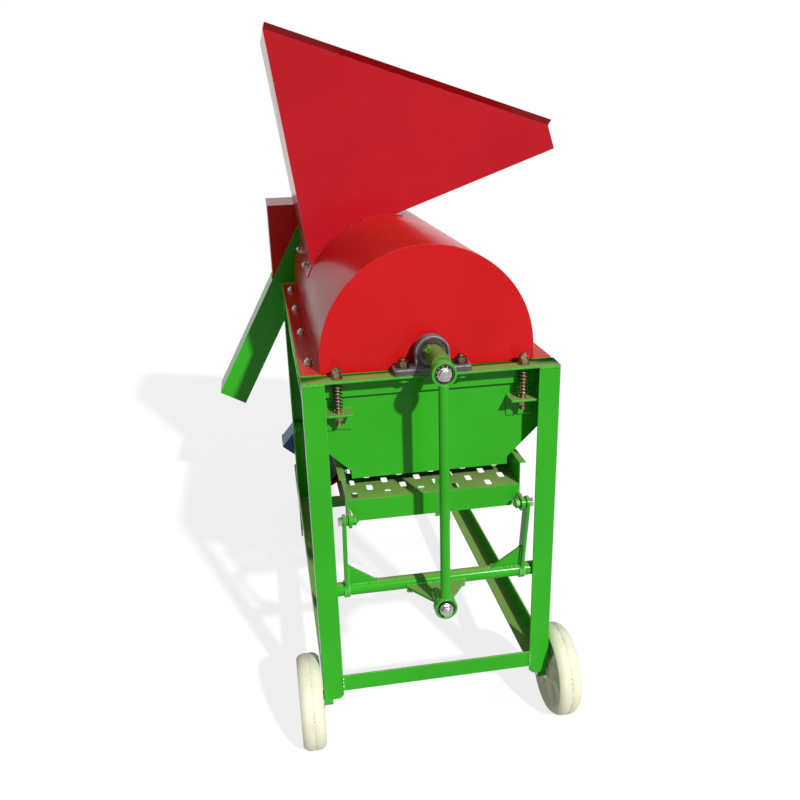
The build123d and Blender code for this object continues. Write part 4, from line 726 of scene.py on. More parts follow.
def hexagon(name: str, flats: float, low: float, height: float) -> Piece:
    """Make a hexagon prism with its corners taken off.

    Args:
        name: the piece's name.
        flats: width across its flats.
        low: height of its lower face.
        height: its height.

    Returns:
        The piece.
    """
    bpy.ops.object.select_all(action="DESELECT")
    corner = flats / 2 / math.cos(math.pi / 6)
    bpy.ops.mesh.primitive_cylinder_add(vertices=6, radius=corner, depth=height,
                                        location=(0.0, 0.0, low + height / 2))
    piece = bpy.context.active_object
    piece.name = name
    settle(piece)
    with edit(piece):
        bpy.ops.mesh.bevel(offset=flats * 0.09, affect="VERTICES")
    return soften(piece, flats * 0.018)


def seat(place: Vector, way: Vector) -> Matrix:
    """The move that takes a piece from the origin, upright, to a place, pointing a way."""
    return Matrix.Translation(place) @ way.to_track_quat("Z", "Y").to_matrix().to_4x4()


def copied(piece: Piece, move: Matrix) -> Piece:
    """Copy a piece, with its own mesh, to another place.

    Args:
        piece: the pattern.
        move: the move from it to the copy.

    Returns:
        The copy.
    """
    twin = bpy.data.objects.new(piece.name, piece.data.copy())
    bpy.context.scene.collection.objects.link(twin)
    return moved(twin, move)


def moved(piece: Piece, move: Matrix) -> Piece:
    """Move a piece's mesh and hand the piece back."""
    piece.data.transform(move)
    return piece


def joined(name: str, pieces: Sequence[Piece]) -> Piece:
    """Join pieces into one.

    Args:
        name: the joined piece's name.
        pieces: the pieces.

    Returns:
        The joined piece.
    """
    select_only(*pieces)
    bpy.ops.object.join()
    pieces[0].name = name
    return pieces[0]


def scrap(*pieces: Piece) -> None:
    """Throw away patterns that have been copied."""
    for piece in pieces:
        bpy.data.objects.remove(piece, do_unlink=True)


@dataclass
class Workshop:
    """Holds the loaded frame and dresses its nodes."""

    frame: dict

    @property
    def slots(self) -> dict[str, str]:
        """The material slot of each node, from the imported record."""
        return {part["node"]: part["material_slot"] for part in self.frame["record"]["subparts"]}

    @property
    def bodies(self) -> dict[str, str]:
        """The body that carries each node."""
        groups = self.frame["record"]["behaviour"]["bodies"]
        return {node: body for body, members in groups.items() for node in members}

    def copy_of(self, node: str) -> Piece:
        """Copy a node's mesh, with its triangles merged into whole faces and no material.

        Args:
            node: the node's name.

        Returns:
            The copy, which stands for no node yet.
        """
        piece = bpy.data.objects.new(node + "_dressed", self.frame["nodes"][node].data.copy())
        bpy.context.scene.collection.objects.link(piece)
        piece.data.materials.clear()
        select_only(piece)
        bpy.ops.mesh.customdata_custom_splitnormals_clear()
        with edit(piece):
            bpy.ops.mesh.remove_doubles(threshold=MERGE)
            bpy.ops.mesh.dissolve_limited(angle_limit=math.radians(0.4))
        return piece

    def solids(self, node: str) -> list[np.ndarray]:
        """The points of each separate solid of a node.

        Args:
            node: the node's name.

        Returns:
            The solids from left to right, front to back and low to high.
        """
        piece = self.copy_of(node)
        with edit(piece):
            bpy.ops.mesh.separate(type="LOOSE")
        loose = list(bpy.context.selected_objects)
        found = [np.array([point.co for point in one.data.vertices]) for one in loose]
        scrap(*loose)
        return sorted(found, key=lambda points: tuple(np.round(points.min(0), 4)))

    def boxes(self, node: str) -> list[Box]:
        """The box of each separate solid of a node, in the same order."""
        return [Box.about(points) for points in self.solids(node)]

    def place(self, piece: Piece, node: str, finish: Optional[Finish] = None, ride: bool = True) -> None:
        """Let a piece stand for a node: the node is hidden, and the piece rides on the node's body and takes
        the finish given, or the one that the node's slot names.

        Args:
            piece: the finished piece.
            node: the node that it replaces.
            finish: its finish where it has none yet, or None for the one that the node's slot names.
            ride: False where the piece is attached to no body.
        """
        slot = self.slots[node]
        piece.name = node + "_dressed"
        if not any(piece.data.materials):
            (finish or Finish[slot.upper()]).on(piece)
        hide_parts(node)
        if ride:
            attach(piece, self.bodies[node])
        LOG.info("%s stands for %s", piece.name, node)

    def add(self, piece: Piece, name: str, body: str, slot: str, finish: Optional[Finish] = None) -> None:
        """Add a piece that stands for no node.

        Args:
            piece: the finished piece.
            name: its name.
            body: the body that carries it.
            slot: the material slot that it takes its finish from.
            finish: its finish, or None for the one that the slot names.
        """
        piece.name = name
        (finish or Finish[slot.upper()]).on(piece)
        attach(piece, body)
        LOG.info("%s rides on %s", name, body)


@dataclass
class EdgedNodes:
    """Nodes that keep their shape and get rounded edges and smooth curves."""

    shop: Workshop
    width: float
    nodes: tuple[str, ...]
    finish: Optional[Finish] = None
    segments: int = 2

    def build(self) -> None:
        """Make a softened copy of every node in the list."""
        for node in self.nodes:
            piece = soften(self.shop.copy_of(node), self.width, self.segments)
            self.shop.place(piece, node, self.finish)


# Fastenings

class End(Enum):
    """What shows at one end of a bolt."""

    NUT = "nut"
    HEAD = "head"


@dataclass(frozen=True)
class Fixing:
    """Hexagon bolt of one size, with its washers, nuts and the end of its thread; shares are of its size."""

    size: float
    nuts: int = 1
    proud: float = 0.4
    flats_share: float = 1.6
    nut_share: float = 0.8
    nut_gap: float = 0.02
    nut_turns: tuple[float, float] = (0.5, 0.7)
    head_share: float = 0.64
    washer_share: float = 0.18
    washer_outer: float = 1.12
    pitch_share: float = 0.15
    crown_share: float = 0.93
    round_sides: int = 20

    @property
    def radius(self) -> float:
        """Radius of the thread."""
        return self.size / 2

    @property
    def flats(self) -> float:
        """Width across the flats of nut and head."""
        return self.size * self.flats_share

    @property
    def nut_height(self) -> float:
        """Height of the nut."""
        return self.size * self.nut_share

    @property
    def head_height(self) -> float:
        """Height of the head."""
        return self.size * self.head_share

    @property
    def washer_height(self) -> float:
        """Thickness of the washer."""
        return self.size * self.washer_share

    def washer(self) -> Piece:
        """Flat washer lying on the plane Z = 0."""
        return ring("washer", self.radius, self.size * self.washer_outer, 0.0, self.washer_height, 0.3 * MM)

    def shank(self, length: float) -> Piece:
        """Plain stem that stands on the plane Z = 0."""
        corners = [(0.0, 0.0), (self.radius, 0.0), (self.radius, length), (0.0, length)]
        return turned("shank", corners, self.round_sides)

    def thread(self, low: float, high: float) -> Piece:
        """Threaded stem with a chamfered end.

        Args:
            low: height of its lower end.
            high: height of its chamfered end.

        Returns:
            The stem.
        """
        radius = self.radius
        pitch = self.size * self.pitch_share
        section = [(0.0, low), (radius, low)]
        height = low
        while height + pitch < high - pitch:
            section += [(radius * 0.88, height + pitch / 2), (radius, height + pitch)]
            height += pitch
        section += [(radius * 0.92, high - pitch / 2), (radius * 0.72, high), (0.0, high)]
        return turned("thread", section, self.round_sides)

    def nut_end(self) -> Piece:
        """Washer, nuts and the thread that stands out of them, on the plane Z = 0.

        Returns:
            The joined piece.
        """
        pieces = [self.washer()]
        height = self.washer_height
        first, step = self.nut_turns
        for index in range(self.nuts):
            nut = hexagon("nut", self.flats, height, self.nut_height)
            pieces.append(moved(nut, Matrix.Rotation(first + index * step, 4, "Z")))
            height += self.nut_height + self.size * self.nut_gap
        pieces.append(self.thread(self.washer_height, height + self.size * self.proud))
        return joined("nut_end", pieces)

    def head_end(self) -> Piece:
        """Washer and bolt head with a round crown, on the plane Z = 0.

        Returns:
            The joined piece.
        """
        high = self.washer_height + self.head_height
        head = hexagon("head", self.flats, self.washer_height, self.head_height)
        radius = self.flats / 2 * self.crown_share
        crown = turned("crown", [(radius, high - 0.2 * MM), (radius * 0.96, high + 0.2 * MM),
                                 (radius * 0.5, high + 0.35 * MM), (0.0, high + 0.4 * MM)], 24)
        return joined("head_end", [self.washer(), head, crown])

    def end(self, kind: End) -> Piece:
        """The pattern of one kind of end."""
        return self.nut_end() if kind is End.NUT else self.head_end()


PIVOT_BOLT = Fixing(10 * MM, washer_share=0.1, washer_outer=0.9)


def upward(place: Vector) -> Vector:
    """The way of a bolt that stands upright, wherever it is."""
    return UP


@dataclass
class Fastenings:
    """Bolts, nuts and washers all over the machine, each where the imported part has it."""

    shop: Workshop
    bearing_bolt: Fixing = Fixing(12 * MM)
    motor_bolt: Fixing = Fixing(10 * MM)
    sheet_bolt: Fixing = Fixing(8 * MM)
    spring_bolt: Fixing = Fixing(10 * MM, nuts=2, proud=0.3)
    tail: float = 2.0 * MM
    sleeve_gap: float = 0.4 * MM
    sleeve_outer: float = 0.9
    sleeve_length: float = 4.4 * MM
    arm_wall: float = 6.0 * MM
    rear_reach: float = 10.0 * MM
    rail_reach: float = 30.0 * MM

    def build(self) -> None:
        """Fit every set of bolts."""
        zinc, green = Finish.ZINC, Finish.GREEN_PAINT
        self.fit("bearing_bolts", self.bearing_bolt, upward, (Finish.RUSTED_ZINC, green))
        self.fit("motor_bolts", self.motor_bolt, upward, (zinc, zinc))
        self.fit("sheet_bolts", self.sheet_bolt, self.sheet_way, (zinc, zinc))
        self.fit("sieve_pivot_bolts", PIVOT_BOLT, self.side_way, (zinc, green), End.HEAD, sleeve=True)
        self.fit_spring_bolts()
        self.fit_spring_nuts()

    def sheet_way(self, place: Vector) -> Vector:
        """The way that a bolt in the sheets points.

        Args:
            place: the bolt's place.

        Returns:
            Up on the rails, back on the hood, outwards on the drum.
        """
        rails = Box.of("top_rails").high
        drum = Box.of("drum_ends")
        if place.y > rails.y - self.rear_reach:
            return BACK
        if place.z < rails.z + self.rail_reach:
            return UP
        away = Vector((place.x - drum.middle.x, 0.0, place.z - drum.high.z + drum.half.x))
        return away.normalized()

    def side_way(self, place: Vector) -> Vector:
        """Outwards to the side that the place is on."""
        return LEFT if place.x < Box.of("front_legs").middle.x else RIGHT

    def fit(self, node: str, fixing: Fixing, way_of: Callable[[Vector], Vector],
            finishes: tuple[Finish, Finish], outer: End = End.NUT, sleeve: bool = False) -> None:
        """Replace a node's bolts.

        Args:
            node: the node that holds them.
            fixing: their size.
            way_of: gives the way that a bolt's outer end points, from its place.
            finishes: their finish at the outer and at the inner end.
            outer: what shows at the outer end; the other kind is at the inner end.
            sleeve: True for a spacer inside the arm that the outer end rests on.
        """
        inner = End.HEAD if outer is End.NUT else End.NUT
        patterns = [finish.on(fixing.end(kind)) for finish, kind in zip(finishes, (outer, inner))]
        pieces = []
        for points in self.shop.solids(node):
            centre = Box.about(points).middle
            way = way_of(centre)
            reach = points @ np.array(way)
            axis = centre - way * centre.dot(way)
            top = axis + way * (reach.max() - fixing.head_height)
            low = axis + way * (reach.min() + self.tail + fixing.nut_height)
            shank = finishes[0].on(fixing.shank((top - low).length))
            pieces += [moved(shank, seat(low, way)), copied(patterns[0], seat(top, way)),
                       copied(patterns[1], seat(low, -way))]
            if sleeve:
                inside = self.arm_wall + self.sleeve_gap * 2
                collar = ring("collar", fixing.radius, fixing.size * self.sleeve_outer, inside,
                              inside + self.sleeve_length)
                pieces.append(finishes[1].on(moved(collar, seat(top, -way))))
        scrap(*patterns)
        self.shop.place(joined(node, pieces), node)

    def fit_spring_bolts(self) -> None:
        """Long bolts with two nuts on the rail."""
        fixing = self.spring_bolt
        pattern = fixing.nut_end()
        pieces = []
        for box in self.shop.boxes("spring_bolts"):
            top = box.at(0, 0, 1) + DOWN * fixing.head_height
            thread = fixing.thread(box.low.z - top.z, 0.0)
            pieces += [copied(pattern, Matrix.Translation(top)), moved(thread, Matrix.Translation(top))]
        scrap(pattern)
        self.shop.place(joined("spring_bolts", pieces), "spring_bolts", Finish.BROWNED_ZINC)

    def fit_spring_nuts(self) -> None:
        """Nuts and washers under the brackets."""
        fixing = self.spring_bolt
        nut = hexagon("nut", fixing.flats, fixing.washer_height, fixing.nut_height)
        pattern = joined("nut", [nut, fixing.washer()])
        pieces = [copied(pattern, seat(box.at(0, 0, 1), DOWN)) for box in self.shop.boxes("spring_nuts")]
        scrap(pattern)
        self.shop.place(joined("spring_nuts", pieces), "spring_nuts", Finish.BROWNED_ZINC)


# Sub-assemblies

@dataclass
class Wheel:
    """Solid moulded wheel with a round tread, a dished web, ribs and a hub sunk on the outer side."""

    shop: Workshop
    node: str
    way: Vector
    crown: float = 9.0 * MM
    crown_power: float = 3.4
    groove: float = 1.2 * MM
    groove_half: float = 2.6 * MM
    rim_wall: float = 0.6 * MM
    rim_inner: float = 70.0 * MM
    rim_corner: float = 3.0 * MM
    web_half: float = 12.0 * MM
    web_corner: float = 1.0 * MM
    hub: float = 28.0 * MM
    hub_corner: float = 2.0 * MM
    hub_sunk: float = 10.5 * MM
    bore: float = 13.0 * MM
    ribs: int = 6
    rib_wall: float = 6.0 * MM
    rib_slope: float = 11.0 * MM
    rib_gap: float = 4.0 * MM
    rib_sunk: float = 3.0 * MM
    rib_edge: float = 1.2 * MM
    dirt_level: float = 1.15
    dirt_share: float = 0.42
    tread_points: int = 24
    sides: int = 72

    def __post_init__(self) -> None:
        """Read the wheel's place and size."""
        self.box = Box.of(self.node)
        self.radius, self.half = self.box.half.z, self.box.half.x

    def build(self) -> None:
        """Turn the wheel with its outer side up, add the ribs and seat it."""
        wheel = joined(self.node, [turned("wheel", self.section(), self.sides), *self.rib_set()])
        self.mark_tread(wheel)
        self.shop.place(moved(wheel, seat(self.box.middle, self.way)), self.node)

    def face(self, hub_face: float) -> Section:
        """Radius and height of the points of one side, from the bore to the tread.

        Args:
            hub_face: height of the hub's face.

        Returns:
            The points.
        """
        step = self.hub_corner
        foot = min(self.web_half + self.web_corner, hub_face)
        edge = self.radius - self.crown - self.rim_wall
        return [(self.bore, hub_face), (self.hub - step, hub_face), (self.hub, max(hub_face - step, foot)),
                (self.hub + step, foot), (self.hub + step * 2, self.web_half),
                (self.rim_inner - self.rim_corner, self.web_half),
                (self.rim_inner, self.web_half + self.web_corner), (edge, self.half)]

    def section(self) -> Section:
        """Radius and height of the points round the wheel's section.

        Returns:
            The points.
        """
        tread = []
        for step in range(-self.tread_points, self.tread_points + 1):
            share = step / self.tread_points
            fall = self.crown * abs(share) ** self.crown_power
            dip = self.groove * math.exp(-(self.half * share / self.groove_half) ** 2)
            tread.append((self.radius - fall - dip, self.half * share))
        outer = self.face(self.half - self.hub_sunk)
        inner = [(r, -h) for r, h in self.face(self.half)]
        return inner + tread + outer[::-1] + [inner[0]]

    def rib(self, slope: float) -> Piece:
        """One straight rib from the hub to the rim on the upper side of the web.

        Args:
            slope: how far its end at the hub leans outwards.

        Returns:
            The rib.
        """
        bpy.ops.object.select_all(action="DESELECT")
        start, end = self.hub - self.hub_corner, self.radius - self.crown - self.rib_gap
        depth = self.half - self.web_half - self.rib_sunk
        bpy.ops.mesh.primitive_cube_add(size=1.0, scale=(end - start, self.rib_wall, depth),
                                        location=((start + end) / 2, 0.0, self.web_half + depth / 2))
        rib = bpy.context.active_object
        settle(rib)
        for point in rib.data.vertices:
            if point.co.x < self.hub and point.co.z > self.web_half + depth / 2:
                point.co.x += slope
        return soften(rib, self.rib_edge)

    def rib_set(self) -> list[Piece]:
        """The ribs on both sides of the web.

        Returns:
            The ribs.
        """
        outer, inner = self.rib(self.rib_slope), self.rib(0.0)
        turns = [Matrix.Rotation(math.tau * index / self.ribs, 4, "Z") for index in range(self.ribs)]
        flip = Matrix.Rotation(math.pi, 4, "X")
        made = [copied(outer, turn) for turn in turns] + [copied(inner, flip @ turn) for turn in turns]
        scrap(outer, inner)
        return made

    def mark_tread(self, wheel: Piece) -> None:
        """Mark how near each point lies to the middle line of the tread.

        Args:
            wheel: the turned wheel.
        """
        points = np.array([point.co for point in wheel.data.vertices])
        on_tread = np.hypot(points[:, 0], points[:, 1]) > self.radius - self.crown
        away = np.abs(points[:, 2]) / (self.half * self.dirt_share)
        near = np.clip(self.dirt_level - away, 0.0, 1.0) * on_tread
        mark = wheel.data.attributes.new(TREAD_MARK, "FLOAT", "POINT")
        mark.data.foreach_set("value", near.astype(np.float32))


@dataclass
class Springs:
    """Four wound springs between the rails and the concave's brackets."""

    shop: Workshop
    round_angle: float = 60.0

    def build(self) -> None:
        """Make smooth springs that stay attached to no body."""
        piece = smooth(self.shop.copy_of("concave_springs"), self.round_angle)
        self.shop.place(piece, "concave_springs", Finish.SPRING_STEEL, ride=False)
        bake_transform(piece)


@dataclass
class Bearings:
    """Cast pillow blocks with ground rings and seals."""

    shop: Workshop
    cast_edge: float = 2.2 * MM
    cast_segments: int = 4
    ring_edge: float = 0.8 * MM
    rim_inner: float = 26.4 * MM
    rim_outer: float = 29.2 * MM
    rim_root: float = 1.0 * MM
    rim_proud: float = 1.6 * MM
    rim_corner: float = 0.8 * MM
    seal_inner: float = 18.2 * MM
    seal_outer: float = 25.4 * MM
    seal_root: float = 2.0 * MM
    seal_sunk: float = 0.6 * MM

    def build(self) -> None:
        """Dress the housings and rings and add what is left to looks."""
        EdgedNodes(self.shop, self.cast_edge, ("bearing_housings",), segments=self.cast_segments).build()
        EdgedNodes(self.shop, self.ring_edge, ("bearing_outer_rings", "bearing_inner_rings"),
                   Finish.OILED_STEEL).build()
        rims, seals = [], []
        housings = self.shop.solids("bearing_housings")
        for points, outer in zip(housings, self.shop.boxes("bearing_outer_rings")):
            body, face = self.body_half(points, outer.middle), outer.half.y
            rim = ring("rim", self.rim_inner, self.rim_outer, body - self.rim_root, body + self.rim_proud,
                       self.rim_corner)
            seal = ring("seal", self.seal_inner, self.seal_outer, face - self.seal_root,
                        face - self.seal_sunk)
            for way in (FRONT, BACK):
                rims.append(copied(rim, seat(outer.middle, way)))
                seals.append(copied(seal, seat(outer.middle, way)))
            scrap(rim, seal)
        self.shop.add(joined("rims", rims), "bearing_rims", "frame", "cast_grey")
        self.shop.add(joined("seals", seals), "bearing_seals", "frame", "black_rubber")

    def body_half(self, points: np.ndarray, centre: Vector) -> float:
        """Half the depth of a housing round its bore."""
        high = points[points[:, 2] > centre.z]
        return float(np.abs(high[:, 1] - centre.y).max())


@dataclass
class RodEnds:
    """Ball bearings in the rings of the connecting rod, with the bolts in front of them."""

    shop: Workshop
    race_wall: float = 2.4 * MM
    race_corner: float = 0.6 * MM
    inner_race: float = 10.6 * MM
    pin_clear: float = 12.9 * MM
    # Half thickness and corner of the dark disc of painted shade inside the bearing.
    shield_half: float = 1.2 * MM
    shield_corner: float = 0.2 * MM
    balls: int = 11
    ball_share: float = 0.42
    ball_depth: float = 3.4 * MM
    bolt_edge: float = 0.9 * MM
    head_height: float = 9.0 * MM
    stud_radius: float = 6.0 * MM
    stud_root: float = 2.0 * MM
    stud_proud: float = 2.5 * MM
    stud_corner: float = 1.2 * MM
    washer: float = 12.5 * MM
    washer_wall: float = 1.6 * MM
    washer_corner: float = 0.5 * MM

    def build(self) -> None:
        """Replace the bearings and dress the two bolts."""
        pieces = []
        lower, upper = sorted(self.shop.boxes("rod_bearings"), key=lambda box: box.low.z)
        for box, has_inner in ((lower, False), (upper, True)):
            place = seat(box.middle, FRONT)
            pieces += [moved(piece, place) for piece in self.bearing(box.half.z, box.half.y, has_inner)]
        self.shop.place(joined("rod_bearings", pieces), "rod_bearings")
        for node in ("rod_upper_bolt", "crank_pin"):
            bolt = soften(self.shop.copy_of(node), self.bolt_edge)
            head = seat(Box.of(node).at(0, -1, 0), FRONT)
            trim = [moved(piece, head) for piece in (self.stud(), self.head_washer())]
            self.shop.place(joined(node, [bolt, *trim]), node, Finish.ZINC)

    def stud(self) -> Piece:
        """End of the thread that stands out of the bolt's head."""
        radius, out, cut = self.stud_radius, self.stud_proud, self.stud_corner
        return turned("stud", [(0.0, -self.stud_root), (radius, -self.stud_root), (radius, out - cut),
                               (radius - cut, out), (0.0, out)])

    def head_washer(self) -> Piece:
        """Washer behind the bolt's head."""
        low = -self.head_height
        return ring("washer", self.stud_radius, self.washer, low, low + self.washer_wall, self.washer_corner)

    def bearing(self, radius: float, half: float, has_inner: bool) -> list[Piece]:
        """Race, a dark disc of painted shade behind the balls, and the balls, about the Z axis.

        Args:
            radius: outer radius of the bearing.
            half: half its width.
            has_inner: True where the bearing has its own inner race.

        Returns:
            The pieces, each with its finish.
        """
        inside = self.inner_race if has_inner else self.pin_clear
        outside = radius - self.race_wall
        race = ring("race", outside, radius, -half, half, self.race_corner)
        # The dark steel disc between the races, behind the balls, is painted shade for the inside of the
        # bearing.
        shade_disc = ring("shade_disc", inside, outside, -self.shield_half, self.shield_half, self.shield_corner)
        pieces = [Finish.OILED_STEEL.on(race), Finish.DARK_STEEL.on(shade_disc)]
        place = Matrix.Translation(((outside + inside) / 2, 0.0, self.ball_depth))
        pattern = Finish.ZINC.on(moved(ball((outside - inside) * self.ball_share), place))
        for index in range(self.balls):
            pieces.append(copied(pattern, Matrix.Rotation(math.tau * index / self.balls, 4, "Z")))
        scrap(pattern)
        if has_inner:
            inner = ring("inner", self.stud_radius, self.inner_race, -half, half, self.race_corner)
            pieces.append(Finish.AGED_ZINC.on(inner))
        return pieces


@dataclass
class CrankHub:
    """Hub on the front end of the shaft, with a round nose, its set screw and lock nut up on the left."""

    shop: Workshop
    turn: float = 46.0
    edge: float = 1.0 * MM
    nose: float = 5.0 * MM
    nose_segments: int = 5
    screw_gap: float = 2.0 * MM
    nut: Fixing = PIVOT_BOLT
    nut_share: float = 0.45
    nut_sunk: float = 0.6 * MM

    def build(self) -> None:
        """Turn the hub on the shaft and add the lock nut."""
        axis = Box.of("main_shaft").middle
        left = axis.x - (Box.of("crank_hub").high.z - axis.z)
        points = np.concatenate(self.shop.solids("crank_hub"))
        screw = Box.about(points[points[:, 0] < left - self.screw_gap])
        root = Vector((left + self.nut_sunk, screw.middle.y, axis.z))
        lock = hexagon("lock", self.nut.flats, 0.0, self.nut.size * self.nut_share)
        hub = self.shop.copy_of("crank_hub")
        self.round_nose(hub)
        whole = joined("crank_hub", [soften(hub, self.edge), moved(lock, seat(root, LEFT))])
        turn = Matrix.Rotation(math.radians(self.turn), 4, "Y")
        about = Matrix.Translation(axis) @ turn @ Matrix.Translation(-axis)
        self.shop.place(moved(whole, about), "crank_hub", Finish.HUB_PAINT)

    def round_nose(self, hub: Piece) -> None:
        """Round the rim of the hub's front face.

        Args:
            hub: the hub.
        """
        front = min(point.co.y for point in hub.data.vertices) + 0.1 * MM
        with edit(hub, "EDGE"):
            bpy.ops.mesh.select_all(action="DESELECT")
        for one in hub.data.edges:
            one.select = all(hub.data.vertices[index].co.y < front for index in one.vertices)
        bpy.ops.object.mode_set(mode="EDIT")
        bpy.ops.mesh.bevel(offset=self.nose, segments=self.nose_segments, affect="EDGES")
        bpy.ops.object.mode_set(mode="OBJECT")


@dataclass
class Welds:
    """Runs of weld where the frame, the rocker, the rod and the brackets are joined."""

    shop: Workshop
    lean: float = 10.0
    arm_wall: float = 6.0 * MM
    gusset_height: float = 44.0 * MM
    gusset_half: float = 2.5 * MM
    run: float = 3.5 * MM
    rod_run: float = 1.1 * MM
    rod_share: float = 0.93
    inset: float = 1.0 * MM
    leg_set: float = 0.6 * MM
    wing_inset: float = 4.0 * MM
    wing_edges: tuple[float, float] = (3.5 * MM, -9.0 * MM)
    wing_share: float = 0.99
    boss_place: tuple[float, float] = (6.0 * MM, 4.5 * MM)
    boss_share: float = 0.97
    boss_run: float = 26.0 * MM
    seam_drop: float = 3.0 * MM
    seam_runs: tuple[tuple[float, float], ...] = ((0.10, 0.15), (0.165, 0.19), (0.26, 0.36))
    chance: random.Random = field(default_factory=lambda: random.Random(SEED))
    laid: list[Piece] = field(default_factory=list)

    def build(self) -> None:
        """Lay all the welds, one piece for each body."""
        for name, body, lay in (("rocker_welds", "rocker", self.lay_rocker),
                                ("frame_welds", "frame", self.lay_frame),
                                ("bracket_welds", "concave", self.lay_concave),
                                ("rod_welds", "rod", self.lay_rod)):
            self.laid = []
            lay()
            self.shop.add(joined("welds", self.laid), name, body, "green_paint", Finish.WELD_PAINT)

    def bead(self, start: Vector, end: Vector, share: float = 1.0) -> None:
        """Lay one rippled run between two points.

        Args:
            start: its start.
            end: its end.
            share: its half width as a share of the usual run's.
        """
        size = self.run * share
        length = (end - start).length
        ripples = max(3, round(length / (size * 1.25)))
        section = [(0.0, -size * 0.4)]
        for index in range(ripples):
            wide = size * self.chance.uniform(0.8, 1.3)
            low = length * index / ripples
            section += [(wide * 0.62, low), (wide, low + length / ripples * self.chance.uniform(0.4, 0.65))]
        section += [(size * 0.6, length), (0.0, length + size * 0.4)]
        self.laid.append(smooth(moved(turned("bead", section, 10), seat(start, end - start)), 70.0))

    def hoop(self, centre: Vector, way: Vector, radius: float, size: float) -> None:
        """Lay a rough weld round a pipe.

        Args:
            centre: middle of the pipe.
            way: direction of the pipe.
            radius: radius of the pipe.
            size: half width of the weld.
        """
        angles = [math.tau * step / 8 for step in range(9)]
        piece = turned("hoop", [(radius + size * math.cos(a), size * math.sin(a)) for a in angles], 40)
        with edit(piece):
            bpy.ops.transform.vertex_random(offset=size * 0.22, uniform=0.0, normal=1.0, seed=SEED)
        self.laid.append(smooth(moved(piece, seat(centre, way)), 80.0))

    def lay_rocker(self) -> None:
        """Gussets and arms on the rocker pipe, the crank's wing on the pipe and its boss on the wing."""
        pipe = Box.of("rocker_shaft")
        centre, radius = pipe.middle, pipe.half.z
        lean = math.radians(self.lean)
        along = Vector((0.0, -math.sin(lean), math.cos(lean)))
        ahead = Vector((0.0, -math.cos(lean), -math.sin(lean)))
        for points in self.shop.solids("rocker_arms"):
            side = RIGHT if Box.about(points).middle.x > centre.x else LEFT
            reach = np.abs(points[:, 0] - centre.x)
            outer, toe = reach.max(), reach.min()
            root, tip = centre + side * (outer - self.arm_wall), centre + side * toe
            for face in (1.0, -1.0):
                turn = lean + face * (self.gusset_half + self.run * 0.5) / radius
                foot = Vector((0.0, -radius * math.sin(turn), radius * math.cos(turn)))
                self.bead(root + foot, tip + foot)
                heel = root + along * radius + ahead * face * (self.gusset_half + self.run * 0.3)
                self.bead(heel, heel + along * self.gusset_height, 0.8)
            for place in (outer, outer - self.arm_wall):
                self.hoop(centre + side * place, RIGHT, radius, self.run)
        wing = Box.of("crank_arm")
        reach = wing.half.x - self.wing_inset
        for edge in self.wing_edges:
            spot = Vector((centre.x, centre.y - radius * self.wing_share, wing.middle.z + edge))
            self.bead(spot + LEFT * reach, spot + RIGHT * reach, 1.2)
        deep, rise = self.boss_place
        boss = wing.at(0, -1, 0) + BACK * deep + UP * rise
        for side in (LEFT, RIGHT):
            spot = boss + side * wing.half.z * self.boss_share
            self.bead(spot, spot + BACK * self.boss_run)

    def lay_frame(self) -> None:
        """Crossbar on the legs, legs under the rail and the rocker's bushes on the legs."""
        bar = min(self.shop.boxes("bottom_rails"), key=lambda box: box.high.y)
        for side in (-1, 1):
            self.bead(bar.at(side, -1, -1) + UP * self.inset, bar.at(side, -1, 1) + DOWN * self.inset, 0.8)
        back = BACK * self.leg_set
        for leg in self.shop.boxes("front_legs"):
            self.bead(leg.at(-1, -1, 1) + RIGHT * self.inset + back,
                      leg.at(1, -1, 1) + LEFT * self.inset + back, 0.7)
        legs = Box.of("front_legs").middle
        for bush in self.shop.boxes("rocker_bushes"):
            side = -1 if bush.middle.x < legs.x else 1
            self.hoop(bush.at(side, 0, 0), RIGHT, bush.half.z, self.run * 0.8)

    def lay_concave(self) -> None:
        """Seam along the concave's front plate, and the springs' brackets on the end plates."""
        box = Box.of("concave_box")
        seam = box.at(-1, -1, 1) + DOWN * self.seam_drop
        for start, end in self.seam_runs:
            self.bead(seam + RIGHT * start, seam + RIGHT * end, 0.8)
        for bracket in self.shop.boxes("spring_brackets"):
            face = box.low.y if bracket.middle.y < box.middle.y else box.high.y
            for height in (bracket.low.z, bracket.high.z):
                self.bead(Vector((bracket.low.x + self.inset, face, height)),
                          Vector((bracket.high.x - self.inset, face, height)), 0.9)

    def lay_rod(self) -> None:
        """The rod's pipe on its two rings."""
        rod = Box.of("connecting_rod")
        lower, upper = sorted(self.shop.boxes("rod_bearings"), key=lambda box: box.low.z)
        gap = rod.half.x * self.rod_share
        for height in (lower.middle.z + gap, upper.middle.z - gap):
            self.hoop(Vector((rod.middle.x, rod.middle.y, height)), UP, rod.half.y, self.rod_run)


@dataclass
class MotorTrim:
    """Small screws on the lid of the motor's terminal box."""

    shop: Workshop
    screw: Fixing = Fixing(4.0 * MM)
    inset: float = 7.0 * MM
    lid_depth: float = 1.0 * MM

    def build(self) -> None:
        """Put a screw in each corner of the lid, which faces away from the motor's shaft."""
        points = np.concatenate(self.shop.solids("terminal_box"))
        away = Box.about(points).middle - Box.of("motor_shaft").middle
        way = Vector((away.x, 0.0, away.z)).normalized()
        across = way.cross(BACK)
        out, side = points @ np.array(way), points @ np.array(across)
        lid = Box.about(points[out > out.max() - self.lid_depth])
        pattern = self.screw.head_end()
        made = []
        for y in (lid.low.y + self.inset, lid.high.y - self.inset):
            for step in (side.min() + self.inset, side.max() - self.inset):
                made.append(copied(pattern, seat(way * out.max() + across * step + BACK * y, way)))
        scrap(pattern)
        self.shop.add(joined("screws", made), "lid_screws", "frame", "zinc")


# Studio

